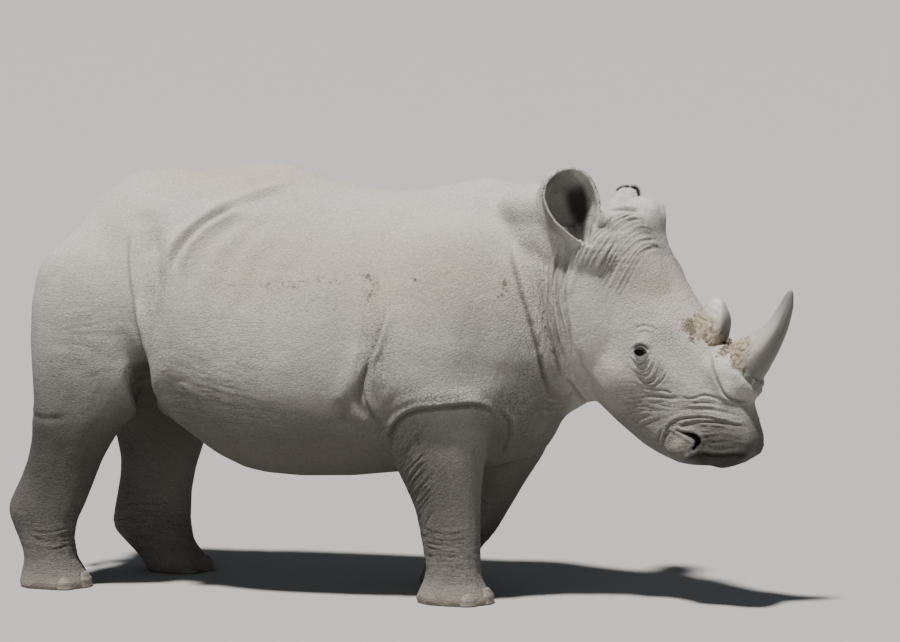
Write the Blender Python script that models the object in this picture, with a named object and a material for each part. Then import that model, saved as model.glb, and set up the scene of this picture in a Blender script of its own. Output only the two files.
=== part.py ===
"""A white rhinoceros cow, life size, standing with her square-lipped head low in the middle of a slow step.

The animal faces +X, its left side is towards +Y, and it stands on z = 0. Each leg, the neck, the trunk and
the head are lofts through named slices. The lofts are fused into one skin by a voxel remesh, smoothed where
flesh blends into flesh, reduced, and parted again by thin cuts into the pieces a person would name.
"""

import math
from collections import namedtuple

import bmesh
import bpy
import numpy as np
from mathutils import Matrix, Vector

# ---------------------------------------------------------------- driving dimensions, in metres and degrees
SHOULDER_HEIGHT = 1.64
GAP = 0.0004  # the thin cut between two neighbouring pieces
RING_POINTS = 28
SLICES_BETWEEN = 4

# How finely each blend of flesh is remeshed, and how many passes of smoothing it gets.
Blend = namedtuple("Blend", "voxel passes")
HEAD_BLEND = Blend(0.010, 14)
TORSO_BLEND = Blend(0.016, 40)
LEGS_BLEND = Blend(0.012, 24)
NAPE_BLEND = Blend(0.011, 24)
NAPE_PLACE = 0.82  # where the head meets the neck, along X
NAPE_REACH = 0.22  # and how far to each side of that the blend is soft
FIRM_BELOW = 0.2  # the feet are left firm up to this height
FIRM_FADE = 0.5

HEAD_BASE = Vector((0.865, -0.048, 1.45))  # the poll, between the ears
HEAD_PITCH = 55.0  # how far the face points down
HEAD_TURN = 11.0  # how far it turns to the animal's right

EYE_RADIUS = 0.024
EYE_PLACE = (0.474, 0.160, -0.110)  # along the face, out from the middle, up from the axis

EAR_WALL = 0.012
EAR_FLOOR = 0.0  # how far along an ear its cup is hollow from
SKIN_TRIANGLES = 3420

# Trunk, from the rump to the breast: place along X, top, underside, widest level, half width,
# and how round the upper and the lower half are (2 is an ellipse, less is more like a roof).
Belly = namedtuple("Belly", "x top bottom level half_width roof keel")
TRUNK = (
    Belly(-1.405, 1.300, 0.940, 1.12, 0.10, 2.0, 2.0),
    Belly(-1.385, 1.390, 0.880, 1.11, 0.19, 2.0, 2.0),
    Belly(-1.320, 1.462, 0.840, 1.10, 0.28, 1.9, 2.0),
    Belly(-1.220, 1.565, 0.800, 1.10, 0.335, 1.8, 2.0),
    Belly(-1.070, 1.658, 0.790, 1.12, 0.380, 1.7, 2.1),
    Belly(-0.850, 1.664, 0.610, 1.06, 0.415, 1.8, 2.2),
    Belly(-0.660, 1.676, 0.490, 0.99, 0.450, 1.8, 2.2),
    Belly(-0.490, 1.700, 0.450, 0.96, 0.460, 1.75, 2.2),
    Belly(-0.200, 1.614, 0.452, 0.95, 0.455, 1.9, 2.2),
    Belly(0.060, 1.590, 0.480, 0.96, 0.425, 1.9, 2.2),
    Belly(0.330, SHOULDER_HEIGHT + 0.01, 0.490, 0.98, 0.385, 1.7, 2.1),
    Belly(0.480, 1.620, 0.540, 1.02, 0.330, 1.8, 2.0),
    Belly(0.600, 1.500, 0.640, 1.05, 0.250, 2.0, 2.0),
    Belly(0.660, 1.350, 0.760, 1.06, 0.150, 2.0, 2.0),
)

# Neck, from inside the shoulders to inside the skull, in the same terms. Its middle drifts to the right.
NECK = (
    Belly(0.250, 1.560, 0.680, 1.08, 0.330, 1.7, 2.0),
    Belly(0.480, 1.620, 0.640, 1.08, 0.320, 1.7, 2.0),
    Belly(0.620, 1.610, 0.690, 1.10, 0.285, 1.7, 2.0),
    Belly(0.740, 1.575, 0.755, 1.12, 0.250, 1.8, 2.0),
    Belly(0.860, 1.480, 0.830, 1.14, 0.215, 2.0, 2.0),
    Belly(0.960, 1.330, 0.930, 1.14, 0.150, 2.0, 2.0),
)

# Legs, as level slices: height, rear edge, front edge, inner face and outer face, the last two out from
# the middle of the animal.
Slice = namedtuple("Slice", "z rear front inner outer")
FORE_RIGHT = (
    Slice(1.050, 0.080, 0.400, 0.120, 0.360),
    Slice(0.900, 0.020, 0.440, 0.100, 0.395),
    Slice(0.780, 0.000, 0.440, 0.105, 0.400),
    Slice(0.700, 0.008, 0.410, 0.110, 0.380),
    Slice(0.620, 0.022, 0.402, 0.120, 0.362),
    Slice(0.520, 0.048, 0.392, 0.130, 0.345),
    Slice(0.436, 0.092, 0.383, 0.138, 0.335),
    Slice(0.337, 0.128, 0.378, 0.142, 0.325),
    Slice(0.210, 0.154, 0.378, 0.145, 0.318),
    Slice(0.110, 0.164, 0.380, 0.140, 0.320),
    Slice(0.050, 0.136, 0.408, 0.120, 0.340),
    Slice(0.012, 0.126, 0.424, 0.112, 0.348),
    Slice(-0.014, 0.140, 0.410, 0.126, 0.334),
)
FORE_LEFT = (
    Slice(1.050, 0.100, 0.450, 0.120, 0.340),
    Slice(0.900, 0.080, 0.540, 0.090, 0.385),
    Slice(0.780, 0.080, 0.590, 0.085, 0.390),
    Slice(0.700, 0.100, 0.590, 0.090, 0.375),
    Slice(0.620, 0.130, 0.565, 0.105, 0.360),
    Slice(0.520, 0.155, 0.520, 0.120, 0.345),
    Slice(0.430, 0.155, 0.462, 0.130, 0.332),
    Slice(0.340, 0.140, 0.408, 0.138, 0.322),
    Slice(0.220, 0.090, 0.336, 0.142, 0.316),
    Slice(0.120, 0.054, 0.256, 0.142, 0.318),
    Slice(0.055, 0.040, 0.256, 0.126, 0.334),
    Slice(0.012, 0.020, 0.272, 0.118, 0.342),
    Slice(-0.014, 0.032, 0.260, 0.130, 0.330),
)
HIND_RIGHT = (
    Slice(1.450, -1.250, -1.060, 0.100, 0.220),
    Slice(1.320, -1.400, -0.960, 0.060, 0.335),
    Slice(1.160, -1.448, -0.920, 0.050, 0.385),
    Slice(1.000, -1.455, -0.930, 0.050, 0.400),
    Slice(0.864, -1.448, -0.965, 0.060, 0.400),
    Slice(0.744, -1.442, -1.015, 0.085, 0.385),
    Slice(0.670, -1.448, -1.065, 0.110, 0.375),
    Slice(0.590, -1.452, -1.120, 0.130, 0.358),
    Slice(0.500, -1.474, -1.170, 0.145, 0.345),
    Slice(0.420, -1.508, -1.200, 0.155, 0.338),
    Slice(0.320, -1.554, -1.242, 0.165, 0.335),
    Slice(0.266, -1.542, -1.270, 0.165, 0.335),
    Slice(0.198, -1.511, -1.285, 0.160, 0.335),
    Slice(0.120, -1.486, -1.276, 0.155, 0.340),
    Slice(0.055, -1.498, -1.240, 0.135, 0.355),
    Slice(0.012, -1.508, -1.222, 0.128, 0.362),
    Slice(-0.014, -1.494, -1.236, 0.141, 0.349),
)
HIND_LEFT = (
    Slice(1.450, -1.250, -1.060, 0.100, 0.220),
    Slice(1.320, -1.400, -0.950, 0.060, 0.335),
    Slice(1.160, -1.440, -0.890, 0.050, 0.385),
    Slice(1.000, -1.435, -0.850, 0.050, 0.400),
    Slice(0.864, -1.405, -0.830, 0.060, 0.400),
    Slice(0.744, -1.360, -0.830, 0.080, 0.380),
    Slice(0.640, -1.310, -0.855, 0.100, 0.360),
    Slice(0.540, -1.262, -0.892, 0.125, 0.345),
    Slice(0.430, -1.248, -0.930, 0.140, 0.335),
    Slice(0.326, -1.264, -0.950, 0.150, 0.328),
    Slice(0.222, -1.284, -0.956, 0.155, 0.325),
    Slice(0.170, -1.282, -0.952, 0.155, 0.328),
    Slice(0.115, -1.230, -0.940, 0.150, 0.335),
    Slice(0.060, -1.168, -0.900, 0.135, 0.350),
    Slice(0.012, -1.140, -0.868, 0.126, 0.360),
    Slice(-0.014, -1.124, -0.882, 0.140, 0.346),
)

# Rounded masses: centre, radii, and whether there is one on each side. Those of the trunk are placed in
# the animal's own directions, and stand for the muscle that a loft lacks.
Mass = namedtuple("Mass", "name centre radii paired")
FLANK_MASSES = (
    Mass("shoulder", (0.280, 0.235, 1.080), (0.300, 0.165, 0.430), True),
    Mass("upper_arm", (0.240, 0.265, 0.920), (0.245, 0.140, 0.170), True),
    Mass("breast", (0.500, 0.000, 0.740), (0.150, 0.190, 0.200), False),
)

# Head, in its own frame: distance along the face from the poll, top of the profile, underside, widest
# level, half width, and how round the upper and the lower half are.
Face = namedtuple("Face", "along top bottom level half_width roof keel")
SKULL = (
    Face(-0.080, 0.060, -0.330, -0.12, 0.115, 2.0, 2.0),
    Face(-0.020, 0.150, -0.400, -0.12, 0.150, 1.9, 2.0),
    Face(0.100, 0.175, -0.430, -0.12, 0.174, 1.8, 2.0),
    Face(0.250, 0.140, -0.445, -0.12, 0.178, 2.0, 2.0),
    Face(0.400, 0.126, -0.445, -0.12, 0.176, 2.2, 1.9),
    Face(0.530, 0.130, -0.435, -0.13, 0.165, 2.3, 1.8),
    Face(0.640, 0.130, -0.405, -0.14, 0.145, 2.3, 1.8),
    Face(0.740, 0.130, -0.370, -0.13, 0.132, 2.3, 2.0),
    Face(0.830, 0.105, -0.320, -0.12, 0.130, 2.4, 2.4),
    Face(0.910, 0.075, -0.255, -0.09, 0.134, 2.6, 2.6),
    Face(0.980, 0.045, -0.150, -0.05, 0.134, 2.8, 2.6),
    Face(1.026, 0.010, -0.080, -0.03, 0.108, 2.4, 2.2),
)

# Rounded masses on the head, in its frame: centre is (along, out, up).
HEAD_MASSES = (
    Mass("ear_base", (0.040, 0.128, -0.080), (0.125, 0.106, 0.120), True),
    Mass("crest", (0.035, 0.000, 0.115), (0.100, 0.105, 0.095), False),
    Mass("temple", (0.190, 0.072, 0.000), (0.230, 0.092, 0.130), True),
    Mass("brow", (0.430, 0.105, -0.010), (0.110, 0.058, 0.075), True),
    Mass("cheek", (0.450, 0.078, -0.260), (0.180, 0.100, 0.150), True),
    Mass("boss", (0.730, 0.000, 0.075), (0.130, 0.108, 0.115), False),
    Mass("lip", (0.940, 0.070, -0.070), (0.082, 0.076, 0.090), True),
    Mass("nostril_wing", (0.860, 0.088, -0.170), (0.085, 0.050, 0.080), True),
)

# Horns: (along, up) of the middle of each ring, its half thickness along the face and its half width.
Ring = namedtuple("Ring", "along up half_length half_width")
HORN_FRONT = (
    Ring(0.738, 0.120, 0.112, 0.098),
    Ring(0.738, 0.160, 0.104, 0.090),
    Ring(0.724, 0.210, 0.081, 0.071),
    Ring(0.701, 0.270, 0.064, 0.056),
    Ring(0.665, 0.345, 0.046, 0.041),
    Ring(0.630, 0.415, 0.031, 0.026),
    Ring(0.604, 0.460, 0.013, 0.011),
)
HORN_REAR = (
    Ring(0.522, 0.080, 0.098, 0.086),
    Ring(0.517, 0.120, 0.086, 0.073),
    Ring(0.500, 0.155, 0.066, 0.053),
    Ring(0.474, 0.184, 0.044, 0.034),
    Ring(0.455, 0.203, 0.018, 0.015),
)

# Ears, as cup-shaped slices from the root to the tip: how far along, half width, depth of the cup,
# and how far its rims curl round (90 degrees is half a tube, 180 would be closed).
Cup = namedtuple("Cup", "along half_width depth curl")
EAR = (
    Cup(-0.060, 0.044, 0.044, 150),
    Cup(-0.020, 0.057, 0.060, 142),
    Cup(0.030, 0.083, 0.076, 122),
    Cup(0.080, 0.106, 0.096, 108),
    Cup(0.130, 0.113, 0.092, 98),
    Cup(0.180, 0.109, 0.076, 90),
    Cup(0.218, 0.089, 0.052, 84),
    Cup(0.243, 0.056, 0.024, 78),
    Cup(0.254, 0.022, 0.016, 72),
)
# Where an ear starts, where its tip points to and where its cup opens to: head turned but not pitched,
# forward, to the left and up, the first of the three measured from the neck's own end of the head.
Ear = namedtuple("Ear", "root tip opening")
EAR_RIGHT = Ear((0.192, -0.192, 1.448), (0.136, -0.258, 1.698), (0.880, -0.850, 0.000))
EAR_LEFT = Ear((0.200, 0.125, 1.445), (0.158, 0.272, 1.505), (0.600, 0.500, -0.600))

# Tail: place along X, height, half thickness and half width of its rings.
TAIL = (
    Ring(-1.320, 1.290, 0.052, 0.064),
    Ring(-1.380, 1.272, 0.045, 0.054),
    Ring(-1.424, 1.225, 0.034, 0.042),
    Ring(-1.448, 1.150, 0.028, 0.033),
    Ring(-1.458, 1.050, 0.024, 0.028),
    Ring(-1.462, 0.940, 0.021, 0.024),
    Ring(-1.462, 0.840, 0.019, 0.023),
    Ring(-1.460, 0.770, 0.013, 0.020),
    Ring(-1.460, 0.740, 0.005, 0.010),
)

# Nails: where round the front of a foot (degrees from straight ahead), half width, height.
Nail = namedtuple("Nail", "bearing half_width height")
NAILS = (Nail(-60, 0.034, 0.050), Nail(0, 0.048, 0.060), Nail(60, 0.034, 0.050))

# The cuts that part the skin, seen from the side as outlines (x, z). Each follows its seam and then goes
# round well outside the piece.
HEAD_CUT = (
    (0.640, 1.760),
    (0.665, 1.500),
    (0.735, 1.150),
    (0.748, 0.200),
    (2.500, 0.200),
    (2.500, 2.200),
    (0.640, 2.200),
)
NECK_CUT = (
    (0.440, 1.760),
    (0.500, 1.400),
    (0.590, 1.100),
    (0.700, 0.620),
    (0.700, 0.200),
    (2.500, 0.200),
    (2.500, 2.200),
    (0.440, 2.200),
)
FORE_CUT = (
    (-0.120, 0.440),
    (-0.020, 0.640),
    (0.060, 0.755),
    (0.170, 0.797),
    (0.300, 0.803),
    (0.400, 0.793),
    (0.500, 0.755),
    (0.600, 0.680),
    (0.700, 0.560),
    (0.900, 0.400),
    (0.900, -0.200),
    (-0.400, -0.200),
    (-0.400, 0.400),
)
HIND_CUT = (
    (-1.700, 0.980),
    (-1.450, 1.080),
    (-1.250, 1.130),
    (-1.080, 1.100),
    (-0.960, 1.000),
    (-0.880, 0.860),
    (-0.800, 0.700),
    (-0.700, 0.400),
    (-0.600, 0.300),
    (-0.600, -0.200),
    (-1.900, -0.200),
    (-1.900, 0.900),
)
LEG_CUT_OUT = 0.070  # how far out from the middle a leg's piece begins
PAST_THE_SKIN = 0.9  # how far out a cut has to reach to be clear of the animal


# ---------------------------------------------------------------- finishes
def finish(name, colour, roughness):
    """A Principled finish of one colour, and the same one each time it is asked for by name."""
    material = bpy.data.materials.get(name)
    if material is None:
        material = bpy.data.materials.new(name)
        material.use_nodes = True
        shader = material.node_tree.nodes["Principled BSDF"]
        shader.inputs["Base Color"].default_value = (*colour, 1.0)
        shader.inputs["Roughness"].default_value = roughness
        shader.inputs["Metallic"].default_value = 0.0
    return material


def skin_finish():
    return finish("dusty_skin", (0.46, 0.42, 0.385), 0.88)


def horn_finish():
    return finish("horn", (0.50, 0.46, 0.38), 0.6)


def nail_finish():
    return finish("nail", (0.24, 0.22, 0.20), 0.6)


def eye_finish():
    return finish("eye", (0.012, 0.008, 0.006), 0.08)


# ---------------------------------------------------------------- mesh tools
def clear_scene():
    for old in list(bpy.data.objects):
        bpy.data.objects.remove(old, do_unlink=True)


def add_object(name, mesh, material=None):
    solid = bpy.data.objects.new(name, mesh)
    bpy.context.scene.collection.objects.link(solid)
    if material is not None:
        mesh.materials.clear()
        mesh.materials.append(material)
    return solid


def object_from(name, bm, material=None):
    mesh = bpy.data.meshes.new(name)
    bmesh.ops.triangulate(bm, faces=bm.faces)
    bmesh.ops.recalc_face_normals(bm, faces=bm.faces)
    bm.to_mesh(mesh)
    bm.free()
    return add_object(name, mesh, material)


def eased(rows, between=SLICES_BETWEEN):
    """The rows with extra ones between them, on a Catmull-Rom curve through every column."""
    table = np.array(rows, float)
    ends = np.vstack([2 * table[0] - table[1], table, 2 * table[-1] - table[-2]])
    made = []
    for i in range(len(table) - 1):
        a, b, c, d = ends[i : i + 4]
        for t in np.arange(between) / between:
            made.append(
                0.5 * (2 * b + (c - a) * t + (2 * a - 5 * b + 4 * c - d) * t**2 + (3 * b - a - 3 * c + d) * t**3)
            )
    made.append(table[-1])
    return made


def oval(half_width, rise, drop, roof=2.0, keel=2.0, count=RING_POINTS):
    """Points (out, up) of a closed ring whose upper and lower halves are superellipses of their own."""
    points = []
    for k in range(count):
        angle = 2 * math.pi * k / count
        c, s = math.cos(angle), math.sin(angle)
        power, reach = (roof, rise) if s >= 0 else (keel, drop)
        out = half_width * math.copysign(abs(c) ** (2 / power), c)
        up = reach * math.copysign(abs(s) ** (2 / power), s)
        points.append((out, up))
    return points


def loft(name, rings, material=None):
    """One closed body through rings of points, each end closed by a fan round its middle."""
    bm = bmesh.new()
    loops = [[bm.verts.new(p) for p in ring] for ring in rings]
    count = len(loops[0])
    for near, far in zip(loops, loops[1:]):
        for k in range(count):
            bm.faces.new((near[k], near[(k + 1) % count], far[(k + 1) % count], far[k]))
    for end in (loops[0], loops[-1]):
        middle = bm.verts.new(sum((v.co for v in end), Vector()) / count)
        for k in range(count):
            bm.faces.new((end[k], end[(k + 1) % count], middle))
    return object_from(name, bm, material)


def sleeve(name, rings, material=None):
    """A loft of slices that aren't round: their ends are closed by strips across the slice's wall."""
    bm = bmesh.new()
    loops = [[bm.verts.new(p) for p in ring] for ring in rings]
    count = len(loops[0])
    for near, far in zip(loops, loops[1:]):
        for k in range(count):
            bm.faces.new((near[k], near[(k + 1) % count], far[(k + 1) % count], far[k]))
    for end in (loops[0], loops[-1]):
        for k in range(count // 2 - 1):
            bm.faces.new((end[k], end[k + 1], end[count - 2 - k], end[count - 1 - k]))
    return object_from(name, bm, material)


def ellipsoid(name, place, radii, turn=None, material=None, segments=24):
    """A ball stretched to three radii, turned by a matrix and put in place."""
    bm = bmesh.new()
    bmesh.ops.create_uvsphere(bm, u_segments=segments, v_segments=segments // 2, radius=1.0)
    spin = turn.to_4x4() if turn is not None else Matrix.Identity(4)
    bmesh.ops.transform(bm, matrix=Matrix.Translation(place) @ spin @ Matrix.Diagonal((*radii, 1.0)), verts=bm.verts)
    return object_from(name, bm, material)


def grown(solid, by):
    """A copy of a solid swollen by a little along its own normals, to cut its neighbour with."""
    bm = bmesh.new()
    bm.from_mesh(solid.data)
    bm.normal_update()
    moved = [v.co + v.normal * by for v in bm.verts]
    for v, place in zip(bm.verts, moved):
        v.co = place
    cutter = object_from(solid.name + "_cutter", bm)
    cutter.hide_render = True
    cutter.display_type = "WIRE"
    return cutter


def settled(solid):
    """Puts what the modifiers make in the object's own mesh, and takes the modifiers off."""
    graph = bpy.context.evaluated_depsgraph_get()
    made = bpy.data.meshes.new_from_object(solid.evaluated_get(graph))
    solid.modifiers.clear()
    solid.data = made
    return solid


def weigh(solid, group, weight):
    """A vertex group whose weights come from a function of the place of each vertex."""
    weights = solid.vertex_groups.new(name=group)
    for v in solid.data.vertices:
        weights.add([v.index], max(0.0, min(1.0, weight(v.co))), "REPLACE")


def fused(name, masses, blend, weight, material=None):
    """The masses as one closed skin: joined, remeshed as a voxel grid sees them, then smoothed by weight."""
    bm = bmesh.new()
    for mass in masses:
        bm.from_mesh(mass.data)
        bpy.data.objects.remove(mass, do_unlink=True)
    whole = object_from(name, bm, material)
    remesh = whole.modifiers.new("blend", "REMESH")
    remesh.mode = "VOXEL"
    remesh.voxel_size = blend.voxel
    settled(whole)
    weigh(whole, "soft", weight)
    soften = whole.modifiers.new("soften", "SMOOTH")
    soften.factor = 0.5
    soften.iterations = blend.passes
    soften.vertex_group = "soft"
    settled(whole)
    whole.vertex_groups.clear()
    return whole


def reduced(solid, triangles):
    """The object with about this many triangles."""
    solid.data.calc_loop_triangles()
    fewer = solid.modifiers.new("fewer", "DECIMATE")
    fewer.ratio = triangles / len(solid.data.loop_triangles)
    return settled(solid)


def cut(solid, cutter, operation):
    step = solid.modifiers.new("cut", "BOOLEAN")
    step.operation = operation
    step.object = cutter
    return settled(solid)


def copy_of(solid, name):
    return add_object(name, solid.data.copy())


def drop(*solids):
    for solid in solids:
        bpy.data.objects.remove(solid, do_unlink=True)


def prism(name, outline, near, far, outward=0.0):
    """An outline in the XZ plane drawn out along Y, its edges and its near face pushed outward a little."""
    count = len(outline)
    area = sum(outline[k - 1][0] * outline[k][1] - outline[k][0] * outline[k - 1][1] for k in range(count))
    if area < 0:
        outline = outline[::-1]
    pushed = []
    for k in range(count):
        a, b, c = (Vector(outline[(k + step) % count]) for step in (-1, 0, 1))
        before, after = (b - a).normalized(), (c - b).normalized()
        normal = Vector((before.y + after.y, -before.x - after.x)).normalized()
        lean = max(0.3, normal.dot(Vector((before.y, -before.x))))
        pushed.append(b + normal * outward / lean)
    near -= math.copysign(outward, far - near)
    bm = bmesh.new()
    loops = [[bm.verts.new((x, y, z)) for x, z in pushed] for y in (near, far)]
    for k in range(count):
        bm.faces.new((loops[0][k], loops[0][(k + 1) % count], loops[1][(k + 1) % count], loops[1][k]))
    for loop in loops:
        bm.faces.new(loop)
    cutter = object_from(name, bm)
    cutter.hide_render = True
    cutter.display_type = "WIRE"
    return cutter


def set_into(host, piece):
    """Makes room for a piece in the one it grows out of, with the thin cut all round it."""
    bed = grown(piece, GAP)
    cut(host, bed, "DIFFERENCE")
    drop(bed)


def part_off(whole, name, outline, near=-PAST_THE_SKIN, far=PAST_THE_SKIN):
    """Parts a named piece off the whole: what lies in the drawn-out outline, a thin cut away from the rest."""
    piece = copy_of(whole, name)
    inside = prism("inside", outline, near, far)
    cut(piece, inside, "INTERSECT")
    around = prism("around", outline, near, far, GAP)
    cut(whole, around, "DIFFERENCE")
    drop(inside, around)
    return piece


# ---------------------------------------------------------------- trunk, neck and legs
def barrel(name, stations):
    """A loft along X. Its middle leaves the animal's own in front of the shoulders, as the head turns."""
    rings = []
    for x, top, bottom, level, half_width, roof, keel in eased(stations):
        drift = -math.tan(math.radians(HEAD_TURN)) * max(0.0, x - 0.62)
        section = oval(half_width, top - level, level - bottom, roof, keel)
        rings.append([Vector((x, drift + out, level + up)) for out, up in section])
    return loft(name, rings)


def limb(name, slices, side):
    """A leg as a loft of level slices. side is -1 on the animal's right and +1 on its left."""
    rings = []
    for z, rear, front, inner, outer in eased(slices):
        section = oval((front - rear) / 2, (outer - inner) / 2, (outer - inner) / 2, 2.3, 2.3)
        rings.append(
            [Vector(((front + rear) / 2 + along, side * ((outer + inner) / 2 + out), z)) for along, out in section]
        )
    return loft(name, rings)


def rounded(masses):
    """The rounded masses of a table, the paired ones on both sides."""
    made = []
    for mass in masses:
        for side in (-1, 1) if mass.paired else (1,):
            along, out, up = mass.centre
            made.append(ellipsoid(mass.name, (along, side * out, up), mass.radii))
    return made


# ---------------------------------------------------------------- head
def head_axes():
    """The head's own frame in the animal's: columns are along the face, out to the left, and up."""
    turn = Matrix.Rotation(math.radians(-HEAD_TURN), 4, "Z")
    pitch = Matrix.Rotation(math.radians(HEAD_PITCH), 4, "Y")
    return Matrix.Translation(HEAD_BASE) @ turn @ pitch


def skull():
    rings = []
    for along, top, bottom, level, half_width, roof, keel in eased(SKULL):
        section = oval(half_width, top - level, level - bottom, roof, keel)
        rings.append([Vector((along, out, level + up)) for out, up in section])
    return loft("skull", rings)


def head():
    """The head as one softened mass, put in the animal's frame."""
    whole = fused("head_mass", [skull(), *rounded(HEAD_MASSES)], HEAD_BLEND, lambda p: 1.25 - p.x)
    whole.data.transform(head_axes())
    return whole


def turned_frame():
    """The frame of the ears: turned with the head but not pitched, from the middle of the neck's end."""
    return Matrix.Translation((0.62, 0.0, 0.0)) @ Matrix.Rotation(math.radians(-HEAD_TURN), 4, "Z")


def ear_axes(place):
    """Where an ear is rooted, and its own directions: along it, across it and out of its cup."""
    frame = turned_frame()
    root, tip = frame @ Vector(place.root), frame @ Vector(place.tip)
    along = (tip - root).normalized()
    opening = frame.to_3x3() @ Vector(place.opening)
    opening = (opening - along * opening.dot(along)).normalized()
    return root, along, along.cross(opening), opening


def cup_arc(place, cup, inset=0.0, turns=4):
    """Points round the C of one slice of an ear, the inset measured in from its outer skin."""
    root, along, across, opening = ear_axes(place)
    middle = root + along * cup.along
    arc = []
    for k in range(-turns, turns + 1):
        angle = math.radians(cup.curl) * k / turns
        wide = (cup.half_width - inset) * math.sin(angle)
        deep = (cup.depth - inset) * math.cos(angle)
        arc.append(middle + across * wide - opening * deep)
    return arc


def ear(name, place):
    """An ear as a loft of C-shaped slices with a wall, from a tube at the root to a dish at the tip."""
    rings = []
    for row in eased(EAR, 1):
        cup = Cup(*row)
        rings.append(cup_arc(place, cup) + cup_arc(place, cup, EAR_WALL)[::-1])
    return sleeve(name, rings, skin_finish())


def ear_hollow(place):
    """What has to be empty for an ear to be open down to its floor: the room inside its walls."""
    rings = [cup_arc(place, cup, EAR_WALL / 2) for cup in EAR if cup.along >= EAR_FLOOR]
    hollow = loft("hollow", rings)
    hollow.hide_render = True
    hollow.display_type = "WIRE"
    return hollow


def horn(name, rings):
    """A horn as a loft through rings that lean with its own curve."""
    axis = head_axes()
    table = eased(rings, 2)
    loops = []
    for i, (along, up, half_length, half_width) in enumerate(table):
        before, after = table[max(i - 1, 0)], table[min(i + 1, len(table) - 1)]
        lean = Vector((after[0] - before[0], 0.0, after[1] - before[1])).normalized()
        across = Vector((lean.z, 0.0, -lean.x))
        middle = Vector((along, 0.0, up))
        section = oval(half_width, half_length, half_length, 2.1, 2.1, 16)
        loops.append([axis @ (middle + across * high + Vector((0.0, wide, 0.0))) for wide, high in section])
    return loft(name, loops, horn_finish())


# ---------------------------------------------------------------- tail, eyes and nails
def tail():
    loops = []
    table = eased(TAIL, 1)
    for i, (x, z, half_length, half_width) in enumerate(table):
        before, after = table[max(i - 1, 0)], table[min(i + 1, len(table) - 1)]
        lean = Vector((after[0] - before[0], 0.0, after[1] - before[1])).normalized()
        across = Vector((-lean.z, 0.0, lean.x))
        section = oval(half_width, half_length, half_length, 2.0, 2.0, 12)
        middle = Vector((x, 0.0, z))
        loops.append([middle + across * thick + Vector((0.0, wide, 0.0)) for wide, thick in section])
    return loft("tail", loops, skin_finish())


def eye(name, side):
    along, out, up = EYE_PLACE
    middle = head_axes() @ Vector((along, side * out, up))
    return ellipsoid(name, middle, (EYE_RADIUS,) * 3, None, eye_finish(), 12)


def nail(name, foot, side, shape):
    """A nail: a low arch with a bulging face, set round the front edge of a foot."""
    middle = Vector(((foot.rear + foot.front) / 2, side * (foot.inner + foot.outer) / 2, 0.0))
    reach = Vector(((foot.front - foot.rear) / 2, (foot.outer - foot.inner) / 2))
    angle = math.radians(shape.bearing)
    c, s = math.cos(angle), math.sin(angle)
    around = Vector((reach.x * abs(c) ** (2 / 2.3), side * reach.y * math.copysign(abs(s) ** (2 / 2.3), s), 0.0))
    spot = middle + around
    facing = Vector((c / reach.x, side * s / reach.y, 0.0)).normalized()
    sideways = Vector((-facing.y, facing.x, 0.0))
    rings = []
    for level, spread, bulge in ((0.0, 1.0, 0.008), (0.55, 1.0, 0.006), (1.0, 0.6, -0.010)):
        z = max(level * shape.height, 0.003)
        ring = []
        for k in range(7):
            turn = math.pi * (k / 6 - 0.5)
            wide = shape.half_width * spread * math.sin(turn)
            front = bulge - 0.020 * (1 - math.cos(turn))
            ring.append(spot + sideways * wide + facing * front + Vector((0.0, 0.0, z)))
        for wide in (0.9 * shape.half_width * spread, -0.9 * shape.half_width * spread):
            ring.append(spot + sideways * wide - facing * 0.045 + Vector((0.0, 0.0, z)))
        rings.append(ring)
    return loft(name, rings, nail_finish())


# ---------------------------------------------------------------- the whole animal
def flesh():
    """The whole skin in one piece, standing on soles cut flat."""
    trunk = barrel("trunk", TRUNK)
    neck = barrel("neck", NECK)
    legs = [
        limb("leg_front_right", FORE_RIGHT, -1),
        limb("leg_front_left", FORE_LEFT, 1),
        limb("leg_hind_right", HIND_RIGHT, -1),
        limb("leg_hind_left", HIND_LEFT, 1),
    ]
    torso = fused("torso", [trunk, neck, *rounded(FLANK_MASSES)], TORSO_BLEND, lambda p: 1.0)
    body = fused("body", [torso, *legs], LEGS_BLEND, lambda p: (p.z - FIRM_BELOW) / FIRM_FADE)
    near_nape = lambda p: 1.0 - abs(p.x - NAPE_PLACE) / NAPE_REACH
    whole = fused("whole", [body, head()], NAPE_BLEND, near_nape, skin_finish())
    reduced(whole, SKIN_TRIANGLES)
    floor = prism("floor", ((-3, -1), (3, -1), (3, 0), (-3, 0)), -2, 2)
    cut(whole, floor, "DIFFERENCE")
    drop(floor)
    return whole


def main():
    clear_scene()
    whole = flesh()
    limbs = (
        ("leg_front_right", -1, FORE_CUT, FORE_RIGHT),
        ("leg_front_left", 1, FORE_CUT, FORE_LEFT),
        ("leg_hind_right", -1, HIND_CUT, HIND_RIGHT),
        ("leg_hind_left", 1, HIND_CUT, HIND_LEFT),
    )
    for name, side, outline, slices in limbs:
        leg = part_off(whole, name, outline, side * LEG_CUT_OUT, side * PAST_THE_SKIN)
        for k, shape in enumerate(NAILS):
            set_into(leg, nail(name.replace("leg", "nail") + "_" + str(k + 1), slices[-2], side, shape))

    head_piece = part_off(whole, "head", HEAD_CUT)
    part_off(whole, "neck", NECK_CUT)
    whole.name = "trunk"
    set_into(whole, tail())

    for place in (EAR_RIGHT, EAR_LEFT):
        hollow = ear_hollow(place)
        cut(head_piece, hollow, "DIFFERENCE")
        drop(hollow)
    rooted = (
        horn("horn_front", HORN_FRONT),
        horn("horn_rear", HORN_REAR),
        ear("ear_right", EAR_RIGHT),
        ear("ear_left", EAR_LEFT),
        eye("eye_right", -1),
        eye("eye_left", 1),
    )
    for piece in rooted:
        set_into(head_piece, piece)


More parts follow.
